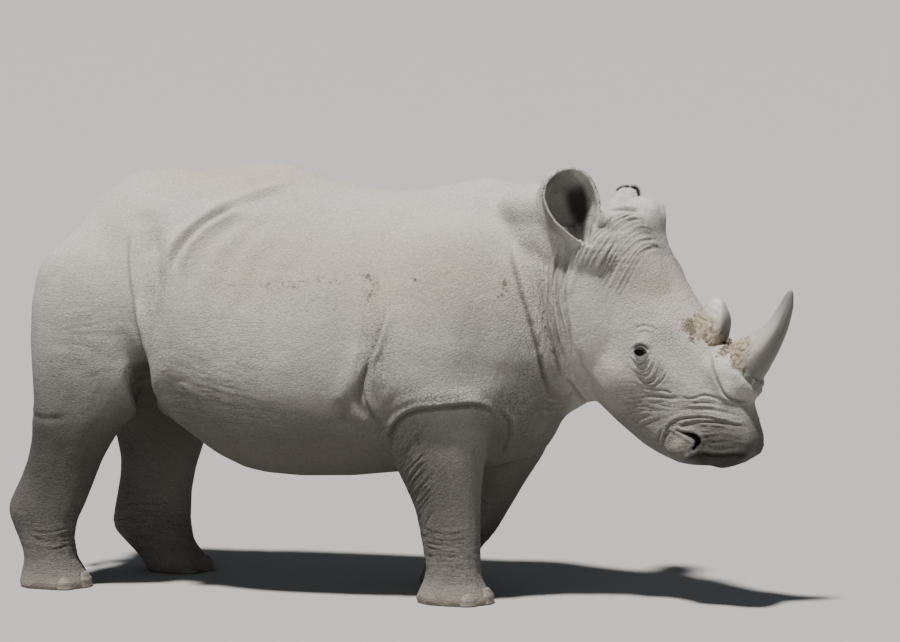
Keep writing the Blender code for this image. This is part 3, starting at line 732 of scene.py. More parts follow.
# %% Folds of the trunk and the legs
BODY_STROKES = [
    Stroke(ON_BODY, "edge", 0.015, 0.010, [
        (-1.031, 1.440), (-1.025, 1.334), (-1.009, 1.243), (-0.981, 1.135), (-0.962, 1.026)
    ], 0.35),
    Stroke(ON_BODY, "edge", 0.026, 0.028, [
        (-0.990, 1.180), (-0.970, 1.070), (-0.955, 1.000), (-0.939, 0.927), (-0.911, 0.808),
        (-0.846, 0.688), (-0.774, 0.611)
    ], 0.7),
    Stroke(ON_BODY, "crease", 0.034, 0.046, [
        (-0.965, 0.985), (-0.960, 0.914), (-0.975, 0.850), (-1.005, 0.780), (-1.050, 0.700)
    ], 0.9),
    Stroke(ON_BODY, "crease", 0.026, 0.009, [
        (-0.945, 1.470), (-0.930, 1.397), (-0.900, 1.276), (-0.886, 1.100), (-0.880, 0.980)
    ]),
    Stroke(ON_BODY, "ridge", 0.028, 0.019, [
        (-0.837, 1.210), (-0.866, 1.278), (-0.862, 1.338), (-0.836, 1.392), (-0.787, 1.445),
        (-0.712, 1.503), (-0.609, 1.553), (-0.488, 1.599), (-0.380, 1.630)
    ]),
    Stroke(ON_BODY, "crease", 0.016, 0.010, [
        (-0.832, 1.268), (-0.828, 1.320), (-0.805, 1.378), (-0.752, 1.440), (-0.690, 1.486),
        (-0.600, 1.533)
    ], 0.12),
    Stroke(ON_BODY, "ridge", 0.018, 0.011, [
        (-0.800, 1.262), (-0.788, 1.350), (-0.735, 1.425), (-0.670, 1.474), (-0.560, 1.530)
    ]),
    Stroke(ON_BODY, "crease", 0.024, 0.005, [
        (-0.752, 1.180), (-0.740, 1.290), (-0.700, 1.380), (-0.620, 1.450), (-0.520, 1.500)
    ]),
    Stroke(ON_BODY, "crease", 0.030, 0.0045, [
        (-0.640, 1.130), (-0.625, 1.250), (-0.590, 1.360), (-0.520, 1.440), (-0.430, 1.490)
    ]),
    Stroke(ON_BODY, "crease", 0.032, 0.004, [
        (-0.520, 1.120), (-0.500, 1.240), (-0.460, 1.350), (-0.390, 1.430)
    ]),
    Stroke(ON_BODY, "crease", 0.034, 0.003, [
        (-0.390, 1.120), (-0.375, 1.230), (-0.335, 1.340), (-0.270, 1.420)
    ]),
    Stroke(ON_BODY, "crease", 0.030, 0.008, [
        (-1.010, 1.500), (-0.960, 1.455), (-0.935, 1.400), (-0.925, 1.330)
    ]),
    Stroke(ON_BODY, "crease", 0.012, 0.004, [
        (-1.520, 0.700), (-1.455, 0.690), (-1.362, 0.684), (-1.270, 0.698)
    ], 0.3),
    Stroke(ON_BODY, "edge", 0.015, 0.014, [
        (0.480, 1.430), (0.496, 1.364), (0.531, 1.248), (0.579, 1.096), (0.608, 0.960), (0.622, 0.863),
        (0.640, 0.780)
    ], 0.7),
    Stroke(ON_BODY, "roll", 0.015, 0.013, [
        (0.024, 0.580), (0.031, 0.645), (0.052, 0.702), (0.099, 0.746), (0.154, 0.768), (0.226, 0.779),
        (0.306, 0.788), (0.361, 0.791), (0.395, 0.780), (0.420, 0.754), (0.430, 0.720)
    ], 0.6),
    Stroke(ON_BODY, "ridge", 0.024, 0.010, [
        (0.040, 0.730), (0.090, 0.790), (0.160, 0.812), (0.250, 0.822), (0.350, 0.826), (0.420, 0.800)
    ]),
    Stroke(ON_BODY, "edge", 0.014, 0.009, [
        (0.445, 0.780), (0.478, 0.715), (0.466, 0.640), (0.425, 0.560)
    ], 0.5),
    Stroke(ON_BODY, "edge", 0.012, 0.011, [
        (0.052, 1.180), (0.031, 1.117), (0.005, 1.030), (-0.021, 0.964), (-0.041, 0.898), (-0.050, 0.855),
        (-0.041, 0.800), (-0.013, 0.724), (0.010, 0.670)
    ], 0.6),
    Stroke(ON_BODY, "crease", 0.017, 0.014, [
        (-0.020, 0.955), (-0.046, 0.890), (-0.062, 0.845), (-0.068, 0.790), (-0.050, 0.720)
    ], 0.55),
    Stroke(ON_BODY, "crease", 0.026, 0.006, [
        (-0.050, 0.859), (-0.090, 0.811), (-0.126, 0.747), (-0.154, 0.681)
    ], 0.35),
    Stroke(ON_BODY, "ridge", 0.026, 0.008, [
        (-0.060, 1.030), (-0.100, 0.930), (-0.130, 0.850), (-0.165, 0.770)
    ]),
    Stroke(ON_BODY, "edge", 0.016, 0.012, [
        (0.690, 0.905), (0.722, 0.862), (0.748, 0.800), (0.760, 0.745)
    ], 0.6),
]
print(len(BODY_STROKES), "folds drawn one by one")

# %% [markdown]
# ## Families of folds
# The neck, the ears' roots, the forelegs, the wrists and the hocks carry rows of wrinkles that are all
# alike. Each row is bounded by two strokes, and the ones between them are made by the helper above.

# %% Families on the neck and the legs
NECK_REAR = Stroke(ON_BODY, "crease", 0.0060, 0.0054, [
    (0.553, 1.334), (0.583, 1.229), (0.624, 1.096), (0.658, 0.960), (0.678, 0.846)
])
NECK_MIDDLE = Stroke(ON_BODY, "crease", 0.0060, 0.0062, [
    (0.672, 1.400), (0.647, 1.305), (0.645, 1.192), (0.672, 1.058), (0.700, 0.920)
])
NECK_FRONT = Stroke(ON_BODY, "crease", 0.0060, 0.0054, [
    (0.738, 1.416), (0.705, 1.306), (0.707, 1.193), (0.723, 1.078), (0.737, 0.960)
])
EAR_REAR = Stroke(ON_BODY, "ridge", 0.0075, 0.0066, [
    (0.640, 1.470), (0.636, 1.390), (0.622, 1.300), (0.612, 1.210)
])
EAR_FRONT = Stroke(ON_BODY, "ridge", 0.0075, 0.0066, [
    (0.770, 1.400), (0.764, 1.325), (0.752, 1.260), (0.740, 1.180)
])
ARM_TOP = Stroke(ON_BODY, "crease", 0.0040, 0.0026, [(0.165, 0.700), (0.105, 0.655), (0.055, 0.600)])
ARM_LOW = Stroke(ON_BODY, "crease", 0.0040, 0.0018, [(0.225, 0.380), (0.175, 0.320), (0.135, 0.260)])
WRIST_TOP = Stroke(ON_BODY, "crease", 0.0045, 0.0024, [
    (0.140, 0.310), (0.190, 0.296), (0.250, 0.292), (0.330, 0.305)
])
WRIST_LOW = Stroke(ON_BODY, "crease", 0.0045, 0.0026, [
    (0.140, 0.175), (0.190, 0.165), (0.250, 0.160), (0.330, 0.175)
])
HOCK_TOP = Stroke(ON_BODY, "crease", 0.0055, 0.0030, [
    (-1.470, 0.270), (-1.420, 0.250), (-1.360, 0.245), (-1.290, 0.265)
])
HOCK_LOW = Stroke(ON_BODY, "crease", 0.0055, 0.0030, [
    (-1.470, 0.165), (-1.420, 0.150), (-1.360, 0.145), (-1.290, 0.165)
])
FAR_HOCK = Stroke(ON_BODY, "crease", 0.0055, 0.0030, [
    (-1.110, 0.270), (-1.060, 0.250), (-1.000, 0.245), (-0.940, 0.265)
])
FAR_HEEL = Stroke(ON_BODY, "crease", 0.0055, 0.0030, [
    (-1.110, 0.165), (-1.060, 0.150), (-1.000, 0.145), (-0.940, 0.165)
])
FAR_WRIST = Stroke(ON_BODY, "crease", 0.0055, 0.0030, [
    (0.020, 0.300), (0.080, 0.290), (0.140, 0.290), (0.220, 0.300)
])
FAR_PALM = Stroke(ON_BODY, "crease", 0.0055, 0.0030, [
    (0.020, 0.170), (0.080, 0.160), (0.140, 0.160), (0.220, 0.170)
])
THROAT_TOP = Stroke(ON_BODY, "crease", 0.009, 0.005, [(0.640, 0.860), (0.690, 0.840), (0.740, 0.842)])
THROAT_LOW = Stroke(ON_BODY, "crease", 0.009, 0.005, [(0.560, 0.740), (0.620, 0.735), (0.690, 0.760)])
body_families = (
    [NECK_REAR, NECK_MIDDLE, NECK_FRONT]
    + between(NECK_REAR, NECK_MIDDLE, 6, 11, 0.005)
    + between(NECK_MIDDLE, NECK_FRONT, 5, 15, 0.005)
    + between(EAR_REAR, EAR_FRONT, 7, 12)
    + between(ARM_TOP, ARM_LOW, 32, 13, 0.005)
    + between(WRIST_TOP, WRIST_LOW, 10, 16, 0.003)
    + between(HOCK_TOP, HOCK_LOW, 5, 17, 0.004)
    + between(FAR_HOCK, FAR_HEEL, 5, 18, 0.004)
    + between(FAR_WRIST, FAR_PALM, 6, 19, 0.004)
    + between(THROAT_TOP, THROAT_LOW, 4, 14)
)
places, ways = table_of(skin), normals_of(skin)
lift, shade = np.zeros(len(places)), np.zeros(len(places))
for stroke in BODY_STROKES + body_families:
    for side in SIDES:
        press(stroke, side, places, ways, lift, shade)
highest = round(float(lift.max()) * 1000, 1)
print(len(BODY_STROKES + body_families), "folds of the body, the highest", highest, "mm")

# %% [markdown]
# ## The folds of the head
# The face is lean over the bone and folded where it moves: nested wrinkles under the eye, deep rows above
# the nostril, a groove round the boss that carries the front horn, and arcs behind the crest, where the
# ear pulls the scalp to and fro.

# %% Folds of the head
HEAD_STROKES = [
    Stroke(ON_HEAD, "crease", 0.0050, 0.0028, [
        (0.388, -0.085), (0.396, -0.048), (0.420, -0.020), (0.448, -0.008)
    ], 0.3),
    Stroke(ON_HEAD, "crease", 0.0045, 0.0020, [(0.410, -0.075), (0.418, -0.052), (0.440, -0.034)], 0.2),
    Stroke(ON_HEAD, "crease", 0.0048, 0.0060, [
        (0.4535, -0.1323), (0.4465, -0.1127), (0.4511, -0.0939), (0.4663, -0.0827), (0.4875, -0.0804)
    ], 1.0),
    Stroke(ON_HEAD, "crease", 0.0045, 0.0040, [
        (0.584, -0.195), (0.599, -0.181), (0.626, -0.146), (0.653, -0.116), (0.680, -0.100)
    ]),
    Stroke(ON_HEAD, "crease", 0.0060, 0.0040, [
        (0.612, -0.215), (0.640, -0.170), (0.672, -0.130), (0.704, -0.085)
    ]),
    Stroke(ON_HEAD, "edge", 0.0090, 0.0060, [
        (0.798, -0.262), (0.782, -0.239), (0.765, -0.205), (0.758, -0.176), (0.768, -0.117),
        (0.811, -0.043), (0.865, 0.012), (0.900, 0.050)
    ], 0.45),
    Stroke(ON_HEAD, "edge", 0.0085, 0.0070, [
        (0.793, -0.178), (0.790, -0.133), (0.816, -0.068), (0.860, -0.008), (0.909, 0.043), (0.929, 0.066)
    ], 0.45),
    Stroke(ON_HEAD, "crease", 0.0060, 0.0060, [(0.812, -0.270), (0.792, -0.236), (0.780, -0.196)]),
    Stroke(ON_HEAD, "crease", 0.0060, 0.0050, [(0.790, -0.285), (0.770, -0.245), (0.752, -0.215)]),
    Stroke(ON_HEAD, "roll", 0.0090, 0.0090, [
        (0.899, -0.235), (0.906, -0.190), (0.917, -0.140), (0.955, -0.088), (0.991, -0.024), (1.024, 0.020)
    ], 0.9),
    Stroke(ON_HEAD, "crease", 0.0065, 0.0080, [
        (0.606, 0.100), (0.628, 0.090), (0.679, 0.078), (0.731, 0.068), (0.782, 0.062), (0.825, 0.082),
        (0.848, 0.110)
    ], 0.6),
    Stroke(ON_HEAD, "crease", 0.0100, 0.0040, [(0.330, -0.300), (0.400, -0.330), (0.470, -0.350)]),
    Stroke(ON_HEAD, "crease", 0.0090, 0.0080, [
        (-0.079, 0.016), (-0.051, 0.074), (-0.011, 0.129), (0.021, 0.165)
    ], 0.8),
]
UNDER_EYE = (
    [(0.462, -0.158), (0.496, -0.153), (0.512, -0.138), (0.512, -0.116), (0.500, -0.092)],
    [(0.484, -0.170), (0.522, -0.155), (0.534, -0.139), (0.528, -0.111), (0.510, -0.087)],
    [(0.498, -0.183), (0.541, -0.164), (0.558, -0.142), (0.545, -0.100), (0.519, -0.073)],
    [(0.517, -0.189), (0.561, -0.168), (0.579, -0.144), (0.566, -0.095), (0.536, -0.064)],
    [(0.539, -0.188), (0.579, -0.170), (0.594, -0.138), (0.581, -0.089), (0.560, -0.061)],
    [(0.562, -0.192), (0.594, -0.172), (0.610, -0.140), (0.600, -0.090), (0.584, -0.066)],
)
MUZZLE_ROWS = (
    [(0.678, -0.102), (0.724, -0.052), (0.744, 0.000), (0.800, 0.048), (0.850, 0.090)],
    [(0.694, -0.148), (0.729, -0.080), (0.770, -0.016), (0.832, 0.049), (0.877, 0.080)],
    [(0.735, -0.150), (0.752, -0.095), (0.792, -0.028), (0.850, 0.034), (0.890, 0.070)],
    [(0.770, -0.160), (0.780, -0.112), (0.816, -0.052), (0.868, 0.004), (0.912, 0.058)],
    [(0.825, -0.120), (0.839, -0.088), (0.869, -0.036), (0.916, 0.021), (0.951, 0.055)],
    [(0.862, -0.120), (0.873, -0.095), (0.902, -0.033), (0.950, 0.018), (0.974, 0.045)],
    [(0.888, -0.128), (0.898, -0.106), (0.935, -0.033), (0.978, 0.018), (0.992, 0.033)],
)
ARC_REAR = Stroke(ON_HEAD, "crease", 0.0050, 0.0034, [
    (0.120, -0.110), (0.064, -0.001), (0.035, 0.044), (0.024, 0.094), (0.038, 0.142), (0.071, 0.168)
])
ARC_MIDDLE = Stroke(ON_HEAD, "crease", 0.0050, 0.0036, [
    (0.205, -0.130), (0.140, -0.010), (0.105, 0.064), (0.098, 0.110), (0.118, 0.142), (0.155, 0.150)
])
ARC_FRONT = Stroke(ON_HEAD, "crease", 0.0055, 0.0028, [
    (0.270, -0.085), (0.225, 0.010), (0.188, 0.085), (0.178, 0.118), (0.183, 0.136), (0.205, 0.144)
])
NAPE_ARC = Stroke(ON_HEAD, "crease", 0.0055, 0.0036, [
    (0.060, -0.150), (0.012, -0.060), (-0.010, 0.010), (-0.015, 0.070), (0.000, 0.125), (0.030, 0.168)
])
CHEEK_REAR = Stroke(ON_HEAD, "crease", 0.006, 0.0016, [(0.560, -0.330), (0.590, -0.270), (0.620, -0.215)])
CHEEK_FRONT = Stroke(ON_HEAD, "crease", 0.006, 0.0022, [(0.720, -0.330), (0.730, -0.270), (0.738, -0.215)])
LIP_TOP = Stroke(ON_HEAD, "crease", 0.0055, 0.0030, [(0.905, -0.120), (0.935, -0.080), (0.970, -0.040)])
LIP_LOW = Stroke(ON_HEAD, "crease", 0.0055, 0.0026, [(0.925, -0.165), (0.955, -0.120), (0.990, -0.080)])


def rows(kind, width, height, tables, extra, seed, stray):
    """A stroke for each row of points, with finer ones between neighbours."""
    made = [Stroke(ON_HEAD, kind, width, height, points) for points in tables]
    for k, (first, last) in enumerate(zip(list(made), list(made)[1:])):
        finer = first._replace(width=0.75 * width, height=0.6 * height)
        made += between(finer, last, extra, seed + k, stray)
    return made


head_families = (
    [ARC_REAR, ARC_MIDDLE, NAPE_ARC]
    + between(NAPE_ARC, ARC_REAR, 3, 24, 0.003)
    + between(ARC_REAR, ARC_MIDDLE, 6, 21, 0.003)
    + between(ARC_MIDDLE, ARC_FRONT, 5, 25, 0.004)
    + rows("crease", 0.0042, 0.0058, UNDER_EYE, 1, 31, 0.0018)
    + rows("crease", 0.0048, 0.0029, MUZZLE_ROWS, 3, 41, 0.0035)
    + between(CHEEK_REAR, CHEEK_FRONT, 6, 22)
    + between(LIP_TOP, LIP_LOW, 3, 23, 0.002)
)
for stroke in HEAD_STROKES + head_families:
    for side in SIDES:
        press(stroke, side, places, ways, lift, shade)
print(len(HEAD_STROKES + head_families), "folds of the head")

# %% [markdown]
# ## Soft forms under the hide
# Shoulder blade, hip, elbow and jaw lift the hide, and hollows lie before them. Each is a low swell or dip
# with soft edges, given by its middle, its reach and its height.

# %% Swells and hollows
Swell = namedtuple("Swell", "frame middle reach height")
SWELLS = (
    Swell(ON_BODY, (-1.060, 1.500), (0.090, 0.080), 0.010),
    Swell(ON_BODY, (-0.925, 1.385), (0.070, 0.090), -0.010),
    Swell(ON_BODY, (-1.180, 1.120), (0.140, 0.200), 0.008),
    Swell(ON_BODY, (-1.010, 0.900), (0.060, 0.140), -0.014),
    Swell(ON_BODY, (-0.978, 0.815), (0.050, 0.090), -0.060),
    Swell(ON_BODY, (0.385, 1.010), (0.085, 0.120), -0.024),
    Swell(ON_BODY, (0.400, 0.900), (0.090, 0.075), -0.016),
    Swell(ON_BODY, (0.290, 1.000), (0.120, 0.080), 0.010),
    Swell(ON_BODY, (0.180, 1.120), (0.130, 0.240), 0.012),
    Swell(ON_BODY, (0.150, 0.860), (0.110, 0.060), 0.010),
    Swell(ON_BODY, (0.430, 1.280), (0.060, 0.180), -0.008),
    Swell(ON_BODY, (-0.110, 1.050), (0.060, 0.200), -0.010),
    Swell(ON_BODY, (0.240, 0.690), (0.170, 0.110), -0.010),
    Swell(ON_BODY, (0.300, 0.520), (0.050, 0.120), 0.006),
    Swell(ON_BODY, (-0.500, 0.860), (0.260, 0.140), 0.008),
    Swell(ON_BODY, (-1.480, 0.300), (0.060, 0.060), 0.006),
    Swell(ON_HEAD, (0.240, -0.090), (0.080, 0.060), -0.010),
    Swell(ON_HEAD, (0.560, -0.010), (0.090, 0.045), -0.010),
    Swell(ON_HEAD, (0.640, -0.190), (0.090, 0.080), -0.010),
    Swell(ON_HEAD, (0.480, -0.260), (0.120, 0.080), 0.008),
)
Knob = namedtuple("Knob", "middle reach height")
KNOBS = (
    Knob((0.440, 0.160, -0.088), 0.022, 0.011),
    Knob((0.452, 0.155, -0.062), 0.022, 0.006),
    Knob((0.858, 0.128, -0.206), 0.034, 0.018),
    Knob((0.845, 0.112, -0.245), 0.030, 0.010),
    Knob((0.030, 0.045, 0.205), 0.024, 0.010),
    Knob((0.070, 0.030, 0.215), 0.022, 0.006),
    Knob((0.185, 0.060, 0.150), 0.060, -0.012),
    Knob((0.960, 0.100, -0.020), 0.040, 0.006),
)
BOSS_MIDDLE, BOSS_REACH = (0.738, 0.110), (0.132, 0.118)  # the collar that carries the front horn
BOSS_HEIGHT = 0.017


def side_view(places):
    """Each place in the side view of the body and of the head."""
    return {ON_BODY: places[:, (0, 2)], ON_HEAD: in_head(places)[:, (0, 2)]}


def falloff(where, spot):
    """1 at the middle of a spot in the side view, and less away from it, by the spot's reach."""
    away = (where - np.array(spot.middle)) / np.array(spot.reach)
    return np.exp(-(away**2).sum(axis=1))


def swell_all(places, ways, lift):
    local = in_head(places)
    outward = {ON_BODY: abs(ways[:, 1]), ON_HEAD: abs(ways @ np.array(HEAD)[:3, 1])}
    where = side_view(places)
    on_head = step_between(places[:, 0], 0.62, 0.70)
    share = {ON_BODY: 1.0 - on_head, ON_HEAD: on_head}
    for swell in SWELLS:
        lift += swell.height * falloff(where[swell.frame], swell) * outward[swell.frame] * share[swell.frame]
    mirrored = np.column_stack((local[:, 0], abs(local[:, 1]), local[:, 2]))
    for knob in KNOBS:
        away = np.linalg.norm(mirrored - np.array(knob.middle), axis=1) / knob.reach
        lift += knob.height * np.exp(-(away**2)) * share[ON_HEAD]
    ring = np.hypot((local[:, 0] - BOSS_MIDDLE[0]) / BOSS_REACH[0], local[:, 1] / BOSS_REACH[1])
    high = step_between(local[:, 2], 0.02, 0.07)
    collar_share = 0.25 + 0.75 * step_between(local[:, 0], 0.600, 0.670)
    collar_share -= 0.95 * step_between(local[:, 0], 0.780, 0.850)
    lift += BOSS_HEIGHT * hump(ring, 0.98, 0.24) * high * collar_share * share[ON_HEAD]


swell_all(places, ways, lift)
print("skin moves from", round(float(lift.min()) * 1000, 1), "to", round(float(lift.max()) * 1000, 1), "mm")

# %% [markdown]
# ## Fields of fine wrinkles
# Between the great folds the hide is creased in bands that all run one way. Drawing each crease would be
# endless, so a field stretches a cloud of noise along the band and sinks the skin where the noise crosses
# its middle value, which gives thin branching lines. The very finest ones are left to the material.

# %% Wrinkle fields
Field = namedtuple("Field", "frame middle reach slant spacing depth")
FIELDS = (
    Field(ON_BODY, (0.650, 1.120), (0.090, 0.300), 82.0, 0.010, 0.0026),
    Field(ON_BODY, (-0.700, 0.860), (0.260, 0.170), 168.0, 0.013, 0.0014),
    Field(ON_BODY, (-1.180, 0.960), (0.150, 0.170), 5.0, 0.020, 0.0024),
    Field(ON_BODY, (0.110, 0.520), (0.090, 0.200), 48.0, 0.011, 0.0014),
    Field(ON_BODY, (-0.030, 0.960), (0.070, 0.150), 75.0, 0.015, 0.0024),
    Field(ON_BODY, (0.200, 0.815), (0.220, 0.035), 75.0, 0.010, 0.0026),
    Field(ON_BODY, (0.020, 0.660), (0.050, 0.090), 20.0, 0.012, 0.0020),
    Field(ON_BODY, (0.240, 0.180), (0.170, 0.090), 0.0, 0.012, 0.0020),
    Field(ON_BODY, (-1.390, 0.190), (0.180, 0.100), 0.0, 0.012, 0.0020),
    Field(ON_BODY, (0.500, 0.740), (0.110, 0.130), 70.0, 0.012, 0.0022),
    Field(ON_HEAD, (0.700, -0.200), (0.150, 0.110), 52.0, 0.010, 0.0020),
    Field(ON_HEAD, (0.910, -0.060), (0.110, 0.090), 52.0, 0.010, 0.0024),
    Field(ON_HEAD, (0.110, 0.020), (0.090, 0.110), 60.0, 0.012, 0.0020),
)
STRETCH = 5.5  # how much longer than broad the shapes in the noise are
LINE = 0.16  # how near to its middle value the noise has to be
SWOLLEN = 0.4  # how much the hide stands up between the lines
FIELD_EDGE = 0.08  # where a field is weaker than this, it is left out
FIELD_SHADE = 0.20


def wrinkle(field, places, ways, lift, shade):
    local = in_head(places) if field.frame == ON_HEAD else places
    where, other = local[:, (0, 2)], local[:, 1]
    mask = falloff(where, field)
    angle = math.radians(field.slant)
    along = where @ np.array((math.cos(angle), math.sin(angle)))
    across = where @ np.array((-math.sin(angle), math.cos(angle)))
    size = 1.0 / (2.0 * field.spacing)
    for k in np.nonzero(mask > FIELD_EDGE)[0]:
        spot = Vector((along[k] * size / STRETCH, across[k] * size, other[k] * size / STRETCH))
        cloud = noise.noise(spot)
        line = math.exp(-((cloud / LINE) ** 2))
        lift[k] -= field.depth * mask[k] * (line - SWOLLEN)
        shade[k] = max(shade[k], FIELD_SHADE * mask[k] * line)


for field in FIELDS:
    wrinkle(field, places, ways, lift, shade)
print(len(FIELDS), "fields of wrinkles")
put_back(skin, places + ways * lift[:, None])

# %% [markdown]
# ## Quiet places
# Two places have to be calmer than strokes leave them: the web of hide between belly and thigh, which is one
# smooth hollow, later darkened with painted shade, and the root of the far ear, which sinks behind the nape.
# The web is smoothed alone, by a weight that fades out, and the ear's root is lowered with both of its walls
# together.

# %% Calm the web and lower the far ear's root
Hollow = namedtuple("Hollow", "middle reach strength")
WEB = Hollow((-0.985, 0.0, 0.800), (0.120, 0.290, 0.170), 1.0)
# the groin and the armpit hollows are painted shade, added to the fold mark further on
GROIN_SHADE = Hollow((-1.020, 0.0, 0.700), (0.190, 0.300, 0.260), 0.95)
ARMPIT_SHADE = Hollow((0.425, 0.0, 0.690), (0.045, 0.320, 0.080), 0.55)
EAR_ROOT = Hollow((0.765, 0.190, 1.560), (0.036, 0.090, 0.060), 0.045)


def hollowed(hollow, places, power=2):
    """Full in the middle of a place, on both sides of the animal where its middle is 0 across."""
    away = ((places - np.array(hollow.middle)) / np.array(hollow.reach)) ** 2
    return hollow.strength * np.exp(-(away.sum(axis=1) ** (power / 2)))


CALM_PASSES = 40
FLAT_TOPPED = 4  # the power that gives a hollow a flat middle and a quick edge
smoothed(skin, CALM_PASSES, hollowed(WEB, table_of(skin), FLAT_TOPPED))
places = table_of(skin)
places[:, 2] -= hollowed(EAR_ROOT, places)
put_back(skin, places)
places = kept_up(skin)
print("lowest place of the skin", round(float(places[:, 2].min()), 4))

# %% [markdown]
# ## Lids and nostrils
# A rhinoceros has small dark eyes under heavy lids. The ball is a solid of its own, so the skin is raised
# over it like a dome, and then an almond of skin is pushed in behind the ball's front, which leaves an
# upper and a lower lid with thick rims. A nostril is pushed into the muzzle along a bent line.

# %% Open the eyes and the nostrils
LID_OVER_BALL = 0.0035
EYE_HALF_LENGTH = 0.0225
UPPER_LID, LOWER_LID = 0.0140, 0.0120
UPPER_ARCH, LOWER_ARCH = 0.8, 0.9  # how full the lids' curves are
BALL_BEHIND = 0.005  # how far the pushed-in skin lies under the ball's front
LidFold = namedtuple("LidFold", "height inside width side start full")
LID_FOLDS = (  # the rim, the roll over it, the crease of the upper lid and the folds of the lower one
    LidFold(0.0016, -0.0028, 0.0024, 0, 0.0, 0.0),
    LidFold(0.0012, -0.0040, 0.0040, 1, 0.000, 0.008),
    LidFold(-0.0026, -0.0105, 0.0026, 1, 0.002, 0.010),
    LidFold(-0.0022, -0.0085, 0.0021, -1, 0.002, 0.008),
    LidFold(-0.0022, -0.0140, 0.0021, -1, 0.002, 0.008),
    LidFold(-0.0022, -0.0195, 0.0021, -1, 0.002, 0.008),
)
NOSTRIL_PATH = [
    (0.796, -0.172), (0.822, -0.152), (0.848, -0.130), (0.872, -0.122), (0.888, -0.136), (0.892, -0.150)
]
NOSTRIL_DEPTH = 0.030
NOSTRIL_RIM = 0.0050


def open_eye(side, places, dark):
    """Raises a dome of skin over a ball, and pushes an almond of it in behind the ball's front."""
    matrix = np.array(HEAD)[:3, :3]
    out = side * matrix[:, 1]
    level = np.cross(matrix[:, 1], (0.0, 0.0, 1.0))
    centre = np.array(head_point(EYE_ALONG, side * EYE_OUT, EYE_UP))
    offset = places - centre
    s, t, w = offset @ level, offset[:, 2], offset @ out
    far = np.hypot(s, t)
    chosen = (w > -0.01) & (far < 0.05)
    s, t, w, far = s[chosen], t[chosen], w[chosen], far[chosen]
    radius = EYE_RADIUS + LID_OVER_BALL
    dome = np.sqrt(np.maximum(radius**2 - far**2, 0.0))
    over = 0.5 * (w + dome + np.sqrt((w - dome) ** 2 + 0.004**2))
    lid = w + (over - w) * step_between(far, 0.040, 0.026)
    along = np.clip(s / EYE_HALF_LENGTH, -1.0, 1.0)
    upper = UPPER_LID * (1 - along**2) ** UPPER_ARCH
    lower = LOWER_LID * (1 - along**2) ** LOWER_ARCH
    inside = np.minimum(upper - t, t + lower)
    inside = np.where(abs(s) >= EYE_HALF_LENGTH, -np.hypot(abs(s) - EYE_HALF_LENGTH, t), inside)
    for fold in LID_FOLDS:
        share = step_between(fold.side * t, fold.start, fold.full) if fold.side else 1.0
        lid += fold.height * hump(inside, fold.inside, fold.width) * share
    behind = np.sqrt(np.maximum((EYE_RADIUS - BALL_BEHIND) ** 2 - far**2, 0.0))
    opening = step_between(inside, -0.0006, 0.0012)
    moved = lid * (1 - opening) + behind * opening
    places[chosen] += (moved - w)[:, None] * out
    # painted shadow of the upper lid: the dark reaches further above the eye than below it
    shaded = 0.0055 + 0.0065 * step_between(t, 0.000, 0.010)
    dark[chosen] = np.maximum(dark[chosen], step_between(inside + shaded, 0.0, 0.0050))


def open_nostril(side, places, ways, dark):
    """Pushes the skin in along a bent line that widens and narrows again, and lifts a rim round it."""
    path = curve_through(NOSTRIL_PATH)
    gone = np.linspace(0.0, 1.0, len(path))
    radius = 0.0015 + 0.0120 * step_between(gone, 0.0, 0.70) - 0.0060 * step_between(gone, 0.75, 1.0)
    local = in_head(places)
    near = (abs(local[:, 0] - NOSTRIL[0]) < 0.10) & (local[:, 2] < -0.02)
    chosen = np.nonzero((side * local[:, 1] > 0.03) & near)[0]
    spot = local[chosen][:, (0, 2)]
    best = np.full(len(chosen), 1e9)
    for point, r in zip(path, radius):
        best = np.minimum(best, np.linalg.norm(spot - point, axis=1) - r)
    inward = -side * np.array(HEAD)[:3, 1] * 0.9 - np.array(HEAD)[:3, 0] * 0.35
    sunk = step_between(best, 0.0015, -0.0065)
    rim = NOSTRIL_RIM * hump(best, 0.0090, 0.0075)
    places[chosen] += sunk[:, None] * NOSTRIL_DEPTH * inward + rim[:, None] * ways[chosen]
    # painted shade in the nostril's hollow
    dark[chosen] = np.maximum(dark[chosen], 0.92 * step_between(best, 0.0025, -0.0050))


places, ways = table_of(skin), normals_of(skin)
dark = np.zeros(len(places))
for side in SIDES:
    open_eye(side, places, dark)
    open_nostril(side, places, ways, dark)
put_back(skin, places)
print("two eyes and two nostrils opened")

# %% [markdown]
# ## What the colour will need
# Dust, mud and painted shade follow the body's forms, and a material alone can't know them. So a few
# numbers are kept for each vertex: how deep it lies in a fold, which gets painted shade and dirt, how dark
# its place is, and how much dust lies there.

# %% Patches
# Dust is tan and loose, and caked where the horns grow. Mud is dark clots. The damp patches are painted
# shade:
# a wet dark muzzle that is partly shade, and painted shadow on the forehead and the legs.
# Shade is the dark place behind the elbow, and pale is the lighter hide of the face.
# Level, upright and leaning say which way the finest creases run, and pebbled where the hide is coarse.
Patch = namedtuple("Patch", "frame middle reach strength")
DUST = (
    Patch(ON_BODY, (0.120, 1.300), (0.460, 0.190), 1.0),
    Patch(ON_BODY, (-0.420, 1.320), (0.360, 0.180), 0.9),
    Patch(ON_BODY, (-0.620, 1.640), (0.420, 0.070), 1.0),
    Patch(ON_BODY, (-1.080, 1.480), (0.130, 0.090), 0.5),
    Patch(ON_BODY, (-1.200, 1.330), (0.120, 0.100), 0.4),
    Patch(ON_HEAD, (0.300, 0.060), (0.150, 0.110), 0.8),
    Patch(ON_HEAD, (0.470, 0.070), (0.080, 0.060), 1.0),
    Patch(ON_HEAD, (0.420, -0.230), (0.160, 0.090), 0.5),
    Patch(ON_HEAD, (0.790, -0.090), (0.060, 0.050), 0.8),
    Patch(ON_HEAD, (0.855, -0.190), (0.040, 0.030), 1.0),
)
